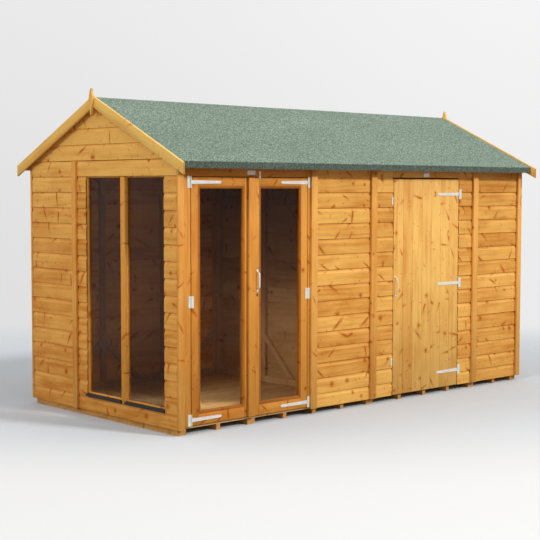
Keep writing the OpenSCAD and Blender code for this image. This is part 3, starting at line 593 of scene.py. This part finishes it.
def leaf(node, pane):
    """Stiles, rails, the lips behind the pane and the beads in front of it."""
    low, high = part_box(node)
    (x0, z0), (x1, z1) = light_of(pane)
    near, far, lip = front_y, front_y + leaf_t, front_y + pane_back
    stiles = [(low.x, x0 - bead_b), (x1 + bead_b, high.x)]
    rails = [(low.z, z0 - bead_b), (z1 + bead_b, high.z)]
    bars = [bar((a, near, low.z), (b, far, high.z), 2) for a, b in stiles]
    bars += [bar((x0 - bead_b, near, a), (x1 + bead_b, far, b), 0) for a, b in rails]
    bars += [bar((a, lip, z0 - bead_b), (a + bead_b, far, z1 + bead_b), 2, 0.001)
             for a in (x0 - bead_b, x1)]
    bars += [bar((x0, lip, a), (x1, far, a + bead_b), 0, 0.001) for a in (z0 - bead_b, z1)]
    return bars + beads(0, (x0, z0), (x1, z1), front_y, 1, 0.0155)


timber("left_leaf", leaf("left_door_frame", "left_door_pane"),
       "left_door", "pine", door_pine, "left_door_frame", tones=(0.7, 0.35, 0.7, 0.5))
timber("right_leaf", leaf("right_door_frame", "right_door_pane"),
       "right_door", "pine", door_pine, "right_door_frame", tones=(0.1, -0.35, 0.4, 0.5))
meeting_low, meeting_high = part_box("right_door_meeting_strip")
timber("meeting_strip", [bar(meeting_low, meeting_high, 2, 0.003)],
       "right_door", "pine", door_pine, "right_door_meeting_strip", tones=(0.05,))

# ---------------------------------------------------------------- store door
# Seven upright tongued and grooved boards with a small V at every joint, left paler than the
# walls, on three ledges and two braces behind.

door_boards = 7
pale_pine = pine("pale_pine", (250, 196, 106), (216, 138, 54), (184, 84, 10), 0.5, 0.012)
ledge_pine = pine("ledge_pine", (212, 160, 100), (168, 112, 58), (110, 58, 28), 0.4, 0.008, along=0)
door_low, door_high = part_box("store_door_boards")
edges = np.linspace(door_low.x, door_high.x, door_boards + 1)
timber("store_door_planks", [
    bar((a, door_low.y, door_low.z), (b, door_high.y, door_high.z), 2, 0.0036)
    for a, b in zip(edges[:-1], edges[1:])], "store_door", "pale_pine", pale_pine,
    "store_door_boards")
dress(ledge_pine, "store_door_ledges")

# ---------------------------------------------------------------- gable window
# A fixed window in two lights. Its frame stands behind the boards, the mullion comes out flush
# with them, and each light has a sloping black sill whose nosing runs past the sides.

seen_b = 0.006
mullion_b = 0.050
mullion_from = 0.4485
sash_front = 0.0135
window_rail_h = 0.031
window_top = window_high.z - window_edge
mullion_y = window_near + mullion_from
near_x, far_x = left_x + sash_front, window_high.x
sash = [
    bar((near_x, window_low.y, window_low.z), (far_x, window_near + seen_b, window_high.z), 2),
    bar((near_x, window_far - seen_b, window_low.z), (far_x, window_high.y, window_high.z), 2),
    bar((left_x, mullion_y - mullion_b / 2, window_foot),
        (far_x, mullion_y + mullion_b / 2, window_top), 2),
]
for start, end in ((window_near + seen_b, mullion_y - mullion_b / 2),
                   (mullion_y + mullion_b / 2, window_far - seen_b)):
    sash.append(bar((near_x, start, window_low.z), (far_x, end, window_foot + window_rail_h), 1))
    sash.append(bar((near_x, start, window_top - seen_b), (far_x, end, window_high.z), 1))
timber("gable_window_frame", sash, "house", "pine", door_pine, "window_frame", tones=(-0.15,) * 7)


def plain_finish(name, tint, roughness, metallic=0.0, grain=400.0, depth=0.0002, spread=0.12):
    """Painted, plated or moulded finish: noise shifts its tone and roughness and lifts it."""
    material, tree, shader = new_finish(name)
    local = own_place(tree)
    fine = noise(tree, local, (grain, grain, grain), 3.0)[0]
    broad = noise(tree, local, (30.0, 30.0, 30.0), 2.0)[0]
    level = sums(tree, "MULTIPLY", fade(tree, fine, 0.2, 0.8, 1 - spread, 1 + spread),
                 fade(tree, broad, 0.2, 0.8, 1 - spread, 1.0))
    bump = add(tree, "Bump", {"Height": fine, "Strength": 0.3, "Distance": depth})
    connect(tree, shader, {
        "Base Color": tinted(tree, colour(*tint), even(tree, level)), "Metallic": metallic,
        "Roughness": fade(tree, broad, 0.2, 0.8, roughness * 0.8, roughness * 1.2),
        "Normal": bump.outputs[0]})
    return material


dress(plain_finish("black_sill", (28, 28, 32), 0.45), "window_sills")

# ---------------------------------------------------------------- panes
# Clear 3 mm sheet in the doors and in the gable window. Light passes through it on its way to
# the room, and the face mirrors only a little of the studio.


def clear_sheet(name, head, foot):
    """Clear sheet, a little smeared, whose tint runs from the head of the panes to their foot:
    painted shade and light that stand in for how the room behind them is lit.
    """
    material, tree, shader = new_finish(name)
    local = own_place(tree)
    smear = noise(tree, local, (4.0, 4.0, 2.0), 4.0)[0]
    tint = mix(tree, fade(tree, split(tree, local)[2], 0.3, 1.6), colour(*foot), colour(*head))
    haze = even(tree, fade(tree, smear, 0.35, 0.7, 0.94, 1.0))
    connect(tree, shader, {
        "Base Color": tinted(tree, tint, haze), "Transmission Weight": 1.0, "IOR": 1.16,
        "Roughness": fade(tree, smear, 0.3, 0.8, 0.0, 0.012)})
    passing = add(tree, "BsdfTransparent", {"Color": (0.8, 0.8, 0.8, 1.0)}).outputs[0]
    shadow = add(tree, "LightPath").outputs["Is Shadow Ray"]
    both = add(tree, "MixShader", {0: shadow, 1: shader.outputs[0], 2: passing}).outputs[0]
    connect(tree, tree.nodes["Material Output"], {"Surface": both})
    return material


# Painted shade on the panes: the window's are a little darker at the foot, and the doors' are dark at
# the head and light at the foot, for the dim upper room and its lit floor.
dress(clear_sheet("window_sheet", (188, 184, 186), (170, 164, 164)), "window_panes")
dress(clear_sheet("door_sheet", (160, 154, 158), (248, 244, 236)), "left_door_pane", "right_door_pane")

# ---------------------------------------------------------------- roof
# Tongued boards along both slopes on the ridge beam and purlins, with a batten under each eave.
# Green mineral felt lies over the ridge and is folded down over the eaves. Its folded flap is
# darkened with painted shade.

roof_board_t = 0.012
roof_rows = 9
felt_t = 0.003
fold_r = 0.007
for node, sign in (("roof_boards_front", 1), ("roof_boards_back", -1)):
    low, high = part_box(node)
    eave_y = low.y if sign > 0 else high.y
    turn = np.array([(1, 0, 0), (0, sign * cos(pitch), sin(pitch)), (0, 0, 1 / cos(pitch))])
    start = (0, eave_y, eave_z - rise * (front_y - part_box("roof_boards_front")[0].y))
    rows = np.linspace(0, (middle_y - eave_y) * sign / cos(pitch), roof_rows + 1)
    boards = []
    for near, far in zip(rows[:-1], rows[1:]):
        rings, axes = bar((low.x, near, 0), (high.x, far, roof_board_t), 0, 0.0012)
        boards.append((rings @ turn + start, axes))
    timber(node + "_tongued", boards, "house", "inner_pine", bare_pine, node)

batten_b, batten_h = 0.028, 0.024
low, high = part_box("eave_battens")
timber("eave_battens_sawn", [
    bar((low.x, near, low.z), (high.x, near + batten_b, low.z + batten_h), 0)
    for near in (low.y, high.y - batten_b)], "house", "pine", strip_pine, "eave_battens")

green_felt, tree, shader = new_finish("green_felt")
local = own_place(tree)
grit = add(tree, "TexVoronoi", {"Vector": local, "Scale": 260.0}).outputs
shade = add(tree, "SeparateColor", {0: grit["Color"]}).outputs
mottle = noise(tree, local, (60.0, 60.0, 60.0), 4.0)[0]
broad = noise(tree, local, (1.3, 2.5, 2.5), 3.0)[0]
stone = mix(tree, fade(tree, shade[0], 0.1, 0.9), colour(90, 117, 97), colour(165, 187, 165))
stone = mix(tree, fade(tree, shade[1], 0.86, 0.9), stone, colour(206, 216, 204))
felt_low, felt_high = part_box("roof_felt")
felt_apex_z = apex_z + (roof_board_t + felt_t) / cos(pitch)
# Painted shade: the flap folded down at the eaves is darkened to about half, for the weaker light on
# its upright face.
fold_top = felt_apex_z - rise * (middle_y - felt_low.y)
turned = fade(tree, split(tree, local)[2], fold_top - 0.006, fold_top + 0.002, 1.0, 0.0)
stone = mix(tree, turned, stone, tinted(tree, stone, (0.49, 0.48, 0.46, 1.0)))
level = sums(tree, "MULTIPLY", fade(tree, mottle, 0.3, 0.72, 0.78, 1.2),
             fade(tree, broad, 0.3, 0.7, 0.94, 1.05))
height = sums(tree, "MULTIPLY_ADD", grit["Distance"], -120.0, sums(tree, "MULTIPLY", mottle, 0.8))
bump = add(tree, "Bump", {"Height": height, "Strength": 0.6, "Distance": 0.0012})
connect(tree, shader, {
    "Base Color": tinted(tree, stone, even(tree, level)), "Normal": bump.outputs[0],
    "Roughness": fade(tree, mottle, 0.2, 0.8, 0.86, 0.98)})


def felt_line(offset, radius):
    """Half section of the felt as run and height from the ridge: up the flap, round the fold on
    a quadratic curve through its corner, and up the slope to the ridge."""
    half = (felt_high.y - felt_low.y) / 2 - offset
    ridge = np.array([0, apex_z + (roof_board_t + felt_t - offset) / cos(pitch)])
    corner = np.array([-half, ridge[1] - rise * half])
    away = corner - (0, radius)
    along = corner + radius * np.array([cos(pitch), sin(pitch)])
    share = np.linspace(0, 1, 6)[:, None]
    fold = away * (1 - share) ** 2 + 2 * corner * share * (1 - share) + along * share ** 2
    rest = along + (ridge - along) * np.linspace(0, 1, 9)[1:, None]
    return np.vstack([(-half, felt_low.z), fold, rest])


outer, inner = felt_line(0.0, fold_r), felt_line(felt_t, fold_r - felt_t)
section = np.vstack([outer, outer[-2::-1] * (-1, 1), inner * (-1, 1), inner[-2::-1]])
stations = np.linspace(felt_low.x, felt_high.x, 70)[:, None]
sheet = np.zeros((len(stations), len(section), 3))
sheet[..., 0] = stations
sheet[..., 1] = middle_y + section[:, 0]
ripple = np.sin(2.1 * stations + 5 * section[:, 0]) + np.sin(5.3 * stations - 3 * section[:, 0])
sheet[..., 2] = section[:, 1] + 0.0004 * ripple
timber("felt_covering", [(sheet, np.eye(3))], "house", "felt", green_felt, "roof_felt")

# ---------------------------------------------------------------- bargeboards and finials
# Pale planed boards follow both slopes at each gable with plumb cuts at the ends. A small
# turned-down spearhead covers the joint at the ridge.

barge_h = 0.076
barge_gap = 0.0005
finial_t = 0.016
barge_pine = pine("barge_pine", (252, 204, 110), (228, 162, 68), (196, 100, 14), 0.4, 0.010)
for node in ("window_gable_bargeboards", "store_gable_bargeboards"):
    low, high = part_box(node)
    boards = []
    for sign in (-1, 1):
        rings, axes = bar((low.x, barge_gap, -barge_h), (high.x, (high.y - low.y) / 2, 0), 1, 0.0022)
        rings[..., 2] += high.z - rise * rings[..., 1]
        rings[..., 1] = middle_y + sign * rings[..., 1]
        down = [(0, sign * cos(pitch), -sin(pitch)), (0, sign * sin(pitch), cos(pitch)), (1, 0, 0)]
        boards.append((rings, np.array(down)))
    timber(node + "_planed", boards, "house", "pale_pine", barge_pine, node)


def spearhead(x):
    """Upright bar whose half breadth follows a smooth outline from its foot to its tip."""
    outline = np.array([(0.0, 0.10), (0.23, 0.42), (0.45, 0.74), (0.59, 0.98), (0.68, 0.93),
                        (0.8, 0.66), (0.9, 0.37), (0.96, 0.20), (1.0, 0.07)])
    low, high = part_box("finials")
    share = np.linspace(0, 1, 22)
    breadth = np.interp(share, outline[:, 0], outline[:, 1])
    breadth = np.convolve(np.pad(breadth, 1, mode="edge"), (0.25, 0.5, 0.25), "valid")
    rings = np.repeat(bar((x, -1, 0), (x + finial_t, 1, 1), 2, 0.002)[0][1:2], len(share), axis=0)
    rings[..., 1] = middle_y + rings[..., 1] * (high.y - low.y) / 2 * breadth[:, None]
    rings[..., 2] = (low.z + (high.z - low.z) * share)[:, None]
    return rings, np.eye(3)[[2, 1, 0]]


timber("finials_shaped", [
    spearhead(x) for x in (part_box("finials")[0].x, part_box("finials")[1].x - finial_t)],
    "house", "pale_pine", barge_pine, "finials")

# ---------------------------------------------------------------- hinges
# Galvanised tee hinges and butts, pressed from sheet and turned round their pins. Domed screws
# with a cross recess hold the plates to the posts and the straps to the doors.

zinc = plain_finish("zinc", (236, 237, 230), 0.42, 0.3, 260.0, 0.0002, 0.12)
plate_t = 0.0025
knuckle_r = 0.004
strap_h = 0.0244
strap_holes = (0.05, 0.13, 0.225)
butt_hole = 0.014
butt_drop = 0.026
plate_hole = 0.018
plate_drop = 0.027
dress(zinc, "hinge_plates", "left_door_hinges", "right_door_hinges", "store_door_hinges")


def screws(name, body, centres, face, radius=0.0042):
    """Screw heads facing the front. Each is a dome, height falling with the square of the
    radius, with a four-armed recess in the middle given by the cosine of four times the angle."""
    rows, around = 6, 16
    out = np.linspace(0.02, 1, rows - 1)[:, None]
    turn = np.arange(around) * 2 * pi / around
    height = 0.0016 * (1 - out ** 2) - 0.0008 * (out < 0.6) * (0.5 + 0.5 * np.cos(4 * turn))
    dome = np.stack([radius * out * np.cos(turn), -height, radius * out * np.sin(turn)], axis=-1)
    skirt = dome[-1:] + (0, 0.0006, 0)
    shape = np.concatenate([dome, skirt])
    points = shape + np.array([(x, face, z) for x, z in centres])[:, None, None]
    faces = [face for screw in range(len(centres))
             for face in skin(rows, around, screw * rows * around)]
    return mesh_piece(name, points.reshape(-1, 3), faces, zinc, body)


def heights(node):
    """Middle heights of the three hinges whose moving halves make up a node."""
    low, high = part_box(node)
    return [low.z + strap_h / 2, (low.z + high.z) / 2, high.z - strap_h / 2]


plates = []
for node, side in (("left_door_hinges", -1), ("right_door_hinges", 1)):
    low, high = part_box(node)
    pin_x = low.x + knuckle_r if side < 0 else high.x - knuckle_r
    foot, middle, head = heights(node)
    on_leaf = [(pin_x - side * reach, z) for reach in strap_holes for z in (foot, head)]
    on_leaf += [(pin_x - side * butt_hole, middle + drop) for drop in (-butt_drop, 0, butt_drop)]
    screws(node + "_screws", node.removesuffix("_hinges"), on_leaf, front_y - plate_t)
    reach = plate_hole if side < 0 else butt_hole
    plates += [(pin_x + side * reach, z + drop) for z in (foot, head)
               for drop in (-plate_drop, plate_drop)]
    plates += [(pin_x + side * butt_hole, middle + drop) for drop in (-butt_drop, butt_drop)]
pin_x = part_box("store_door_hinges")[1].x - knuckle_r
levels = heights("store_door_hinges")
on_door = [(pin_x - reach, z) for reach in strap_holes for z in levels]
screws("store_door_screws", "store_door", on_door, front_y - plate_t)
plates += [(pin_x + plate_hole, z + drop) for z in levels for drop in (-plate_drop, plate_drop)]
screws("plate_screws", "house", plates, front_y - plate_t)

# ---------------------------------------------------------------- handles
# A cast pull handle on the right leaf, with flattened feet and a swelling grip, and a bow of
# bent rod on the store door. Both are zinc plated and screwed on.


def carried(name, body, path, across, thick, wide, node):
    """Bar carried along a path in a plane upright to the front. At each station its section is
    an oval whose half axes, thick in the plane and wide across it, change along the path."""
    ahead = np.gradient(path, axis=0)
    ahead /= np.linalg.norm(ahead, axis=1)[:, None]
    normal = np.cross(ahead, across)
    turn = np.linspace(0, 2 * pi, 16, endpoint=False)
    oval = np.sign([np.cos(turn), np.sin(turn)]) * np.abs([np.cos(turn), np.sin(turn)]) ** 0.8
    rings = path[:, None] + (thick[:, None] * oval[0])[..., None] * normal[:, None]
    rings = rings + (wide[:, None] * oval[1])[..., None] * np.array(across)
    points = rings[:, ::-1].reshape(-1, 3)
    return mesh_piece(name, points, skin(len(path), len(turn)), zinc, body, (node,))


def rise_between(value, start, end):
    """Smooth step from 0 at start to 1 at end."""
    share = np.clip((value - start) / (end - start), 0, 1)
    return share * share * (3 - 2 * share)


foot_t, foot_b = 0.0016, 0.0095
grip_t, grip_b, swell_t = 0.0046, 0.0052, 0.0016
low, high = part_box("right_door_handle")
share = np.linspace(-1, 1, 61)
arch = 1 - rise_between(np.abs(share), 0.55, 0.82)
path = np.zeros((len(share), 3))
path[:, 0] = (low.x + high.x) / 2
path[:, 1] = front_y - foot_t - arch * (front_y - low.y - 0.006)
path[:, 2] = (low.z + high.z) / 2 + share * (high.z - low.z) / 2
foot = rise_between(np.abs(share), 0.72, 0.84)
tip = np.sqrt(np.clip(1 - ((np.abs(share) - 0.86) / 0.14).clip(0) ** 2, 0.02, 1))
swell = grip_t + swell_t * np.cos(share * pi) * (np.abs(share) < 0.6)
carried("pull_handle", "right_door", path, (1.0, 0.0, 0.0), (1 - foot) * swell + foot * foot_t,
        ((1 - foot) * grip_b + foot * foot_b) * tip, "right_door_handle")
handle_x = path[0, 0]
handle_feet = [(handle_x, (low.z + high.z) / 2 + way * (high.z - low.z) * 0.46) for way in (-1, 1)]
screws("pull_handle_screws", "right_door", handle_feet, front_y - 2 * foot_t, 0.003)

rod_r = 0.003
bow_plate_t, bow_plate_h = 0.002, 0.016
low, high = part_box("store_door_handle")
middle_z, half = (low.z + high.z) / 2, (high.z - low.z - bow_plate_h) / 2
around = np.linspace(0, pi, 73)
path = np.zeros((len(around), 3))
path[:, 0] = (low.x + high.x) / 2
path[:, 1] = front_y - np.sin(around) ** 0.8 * (front_y - low.y - rod_r)
path[:, 2] = middle_z - half * np.cos(around)
rod = np.full(len(around), rod_r)
carried("bow_handle", "store_door", path, (1.0, 0.0, 0.0), rod, rod, "store_door_handle")
timber("bow_handle_plates", [
    bar((low.x, front_y - bow_plate_t, z - bow_plate_h / 2),
        (high.x, front_y, z + bow_plate_h / 2), 2, 0.0008)
    for z in (middle_z - half, middle_z + half)], "store_door", "zinc", zinc)

# ---------------------------------------------------------------- small fittings
# A key escutcheon under the pull handle, flat waisted turn buttons on a screw, and plain white
# plates on the wall over the double doors and over the store door.

black_steel = plain_finish("black_steel", (34, 32, 32), 0.5)
white_plate = plain_finish("white_plate", (252, 252, 250), 0.4, 0.0, 300.0, 0.0001, 0.02)


def plate_at(x, z, breadth, height, thickness, radius, waist=0.0):
    """Flat plate given by its middle, on the face of the front: a rectangle with round corners,
    swept from the wall out to the face and drawn in by a small ease. With a waist the outline is
    instead an oval, its breadth by the 0.6th power of the sine and its height by the cosine, and
    a bell curve of the height draws it in round the middle."""
    low = (x - breadth / 2, front_y - thickness, z - height / 2)
    high = (x + breadth / 2, front_y, z + height / 2)
    half = np.array([high[0] - low[0], high[2] - low[2]]) / 2
    turn = np.linspace(0, pi / 2, 7) + np.arange(4)[:, None] * pi / 2
    signs = np.array([(1, 1), (-1, 1), (-1, -1), (1, -1)])
    corners = radius * np.stack([np.cos(turn), np.sin(turn)], axis=-1)
    outline = ((signs * (half - radius))[:, None] + corners).reshape(-1, 2)
    if waist:
        turn = np.linspace(0, 2 * pi, 48, endpoint=False)
        side = np.sign(np.sin(turn)) * np.abs(np.sin(turn))**0.6
        side = side * (1 - waist * np.exp(-(np.cos(turn) / 0.4)**2))
        outline = half * np.stack([side, np.cos(turn)], axis=-1)[::-1]
    rings = np.zeros((4, len(outline), 3))
    ease, inset = 0.0004, 0.003
    stages = ((high[1], 0), (low[1] + ease, 0), (low[1], ease), (low[1], inset))
    for k, (y, shrink) in enumerate(stages):
        rings[k, :, 0] = (low[0] + high[0]) / 2 + outline[:, 0] * (1 - shrink / half[0])
        rings[k, :, 1] = y
        rings[k, :, 2] = (low[2] + high[2]) / 2 + outline[:, 1] * (1 - shrink / half[1])
    return rings, np.eye(3)[[0, 2, 1]]


pull_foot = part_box("right_door_handle")[0].z
timber("key_escutcheon", [plate_at(handle_x, pull_foot - 0.021, 0.013, 0.022, 0.0012, 0.0062)],
       "right_door", "black", black_steel)
timber("lintel_plate", [plate_at(left_x + 0.6325, foot_z + 1.652, 0.070, 0.028, 0.0015, 0.002)],
       "house", "zinc", white_plate)
timber("store_plate", [plate_at(left_x + 2.4147, foot_z + 1.6503, 0.064, 0.029, 0.0015, 0.002)],
       "house", "zinc", white_plate)
button_t = 0.003
button_screw_r = 0.0036
button_x, button_z = handle_x + 0.022, lintel_low.z + 0.013
timber("leaf_button", [plate_at(button_x, button_z, 0.016, 0.051, button_t, 0.0068, 0.45)],
       "right_door", "zinc", zinc)
store_buttons = [(door_low.x - 0.017, foot_z + z) for z in (0.2515, 1.4555)]
timber("store_buttons", [plate_at(x, z, 0.018, 0.060, button_t, 0.0078, 0.4)
                         for x, z in store_buttons], "house", "zinc", zinc)
screws("store_button_screws", "house", store_buttons, front_y - button_t, button_screw_r)
screws("leaf_button_screw", "right_door", [(button_x, lintel_low.z - 0.010)], front_y - button_t,
       button_screw_r)

# ---------------------------------------------------------------- studio
# A pale floor that fades into a pale surround, both carrying painted shade and light, a broad key
# from the front right, a weaker fill on the window gable, and a camera at eye height off the
# corner between the two.

floor_n = 41
studio_r = 16.0
to_right = (0.738, -0.675, 0.0)
to_camera = (-0.675, -0.738, 0.0)
floor_x = np.linspace(-1, 1, floor_n)
grid = np.stack(np.meshgrid(floor_x, floor_x, indexing="ij"), axis=-1).reshape(-1, 2) * studio_r
number = np.arange(floor_n * floor_n).reshape(floor_n, floor_n)
quads = np.stack([number[:-1, :-1], number[1:, :-1], number[1:, 1:], number[:-1, 1:]], axis=-1)
floor_mesh = bpy.data.meshes.new("studio_floor")
floor_mesh.from_pydata(np.column_stack([grid, np.zeros(len(grid))]), [], quads.reshape(-1, 4).tolist())
in_scene("studio_floor", floor_mesh)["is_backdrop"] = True
pale, tree, shader = new_finish("studio_floor")
local = own_place(tree)
radius = add(tree, "VectorMath", {0: local}, operation="LENGTH").outputs["Value"]
side_way, front_way = (
    add(tree, "VectorMath", {0: local, 1: way}, operation="DOT_PRODUCT").outputs["Value"]
    for way in (to_right, to_camera))
# Painted shade and light on the floor: darker away from the camera and lighter to the right, and
# cooler round and behind the house to cancel the warm light its walls bounce down.
level = sums(tree, "ADD", fade(tree, front_way, 0.0, 3.4, 0.54, 0.735),
             fade(tree, side_way, -2.5, 2.5, -0.025, 0.025))
cool, white = (0.94, 1.0, 1.05, 1.0), (1.0, 1.0, 1.0, 1.0)
shown = tinted(tree, even(tree, level), mix(tree, fade(tree, front_way, 0.8, 3.2), cool, white))
eye = add(tree, "LightPath").outputs["Is Camera Ray"]
connect(tree, shader, {
    "Base Color": mix(tree, eye, (0.3, 0.3, 0.3, 1.0), shown), "Roughness": 0.95,
    "Specular IOR Level": 0.1, "Alpha": fade(tree, radius, 3.0, 6.0, 1.0, 0.0)})
floor_mesh.materials.append(pale)

world = bpy.data.worlds.new("studio")
bpy.context.scene.world = world
world.use_nodes = True
tree = world.node_tree
way = add(tree, "TexCoord").outputs["Generated"]
height = split(tree, way)[2]
dome = fade(tree, height, 0.0, 0.8, 0.24, 0.95)
light = add(tree, "Background", {"Color": even(tree, dome)}).outputs[0]
# Painted shade and light in the surround as seen: a darker band just below the horizon, and lighter to
# the right.
low_part = fade(tree, height, -0.27, -0.165, 0.94, 0.65)
high_part = fade(tree, height, -0.165, -0.10, 0.0, 0.14)
top_part = fade(tree, height, -0.10, 0.20, 0.0, 0.08)
side_way = add(tree, "VectorMath", {0: way, 1: to_right}, operation="DOT_PRODUCT")
side_part = fade(tree, side_way.outputs["Value"], -0.25, 0.25, -0.045, 0.045)
shade = sums(tree, "ADD", sums(tree, "ADD", low_part, high_part),
             sums(tree, "ADD", top_part, side_part))
seen = add(tree, "Background", {"Color": even(tree, shade)}).outputs[0]
ray = add(tree, "LightPath").outputs
eye = sums(tree, "MAXIMUM", ray["Is Camera Ray"], ray["Is Transmission Ray"])
eye = sums(tree, "MAXIMUM", eye, ray["Is Glossy Ray"])
both = add(tree, "MixShader", {0: eye, 1: light, 2: seen}).outputs[0]
connect(tree, tree.nodes["World Output"], {"Surface": both})

for name, towards, strength, spread in (
        ("front_lamp", (0.42, -1.0, 0.78), 1.9, 9), ("gable_lamp", (-1.0, -0.1, 0.5), 0.86, 14)):
    lamp = bpy.data.lights.new(name, "SUN")
    lamp.energy = strength
    lamp.angle = radians(spread)
    holder = in_scene(name, lamp)
    holder.rotation_euler = Vector(towards).to_track_quat("Z", "Y").to_euler()

camera = bpy.data.cameras.new("camera")
camera.lens = 82.7
camera.sensor_width = 36
view = in_scene("camera", camera)
yaw, tilt, roll = radians(47.573), radians(3.794), radians(0.0732)
ahead = np.array((cos(yaw) * cos(tilt), sin(yaw) * cos(tilt), -sin(tilt)))
side = np.array((sin(yaw), -cos(yaw), 0))
above = np.cross(side, ahead)
right = cos(roll) * side + sin(roll) * above
above = cos(roll) * above - sin(roll) * side
stand = (-6.6536, -7.0435, 1.5921)
view.matrix_world = Matrix(
    np.vstack([np.column_stack([right, above, -ahead, stand]), (0, 0, 0, 1)]).tolist())
bpy.context.scene.camera = view
bpy.context.scene.view_settings.view_transform = "Standard"

low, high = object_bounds()
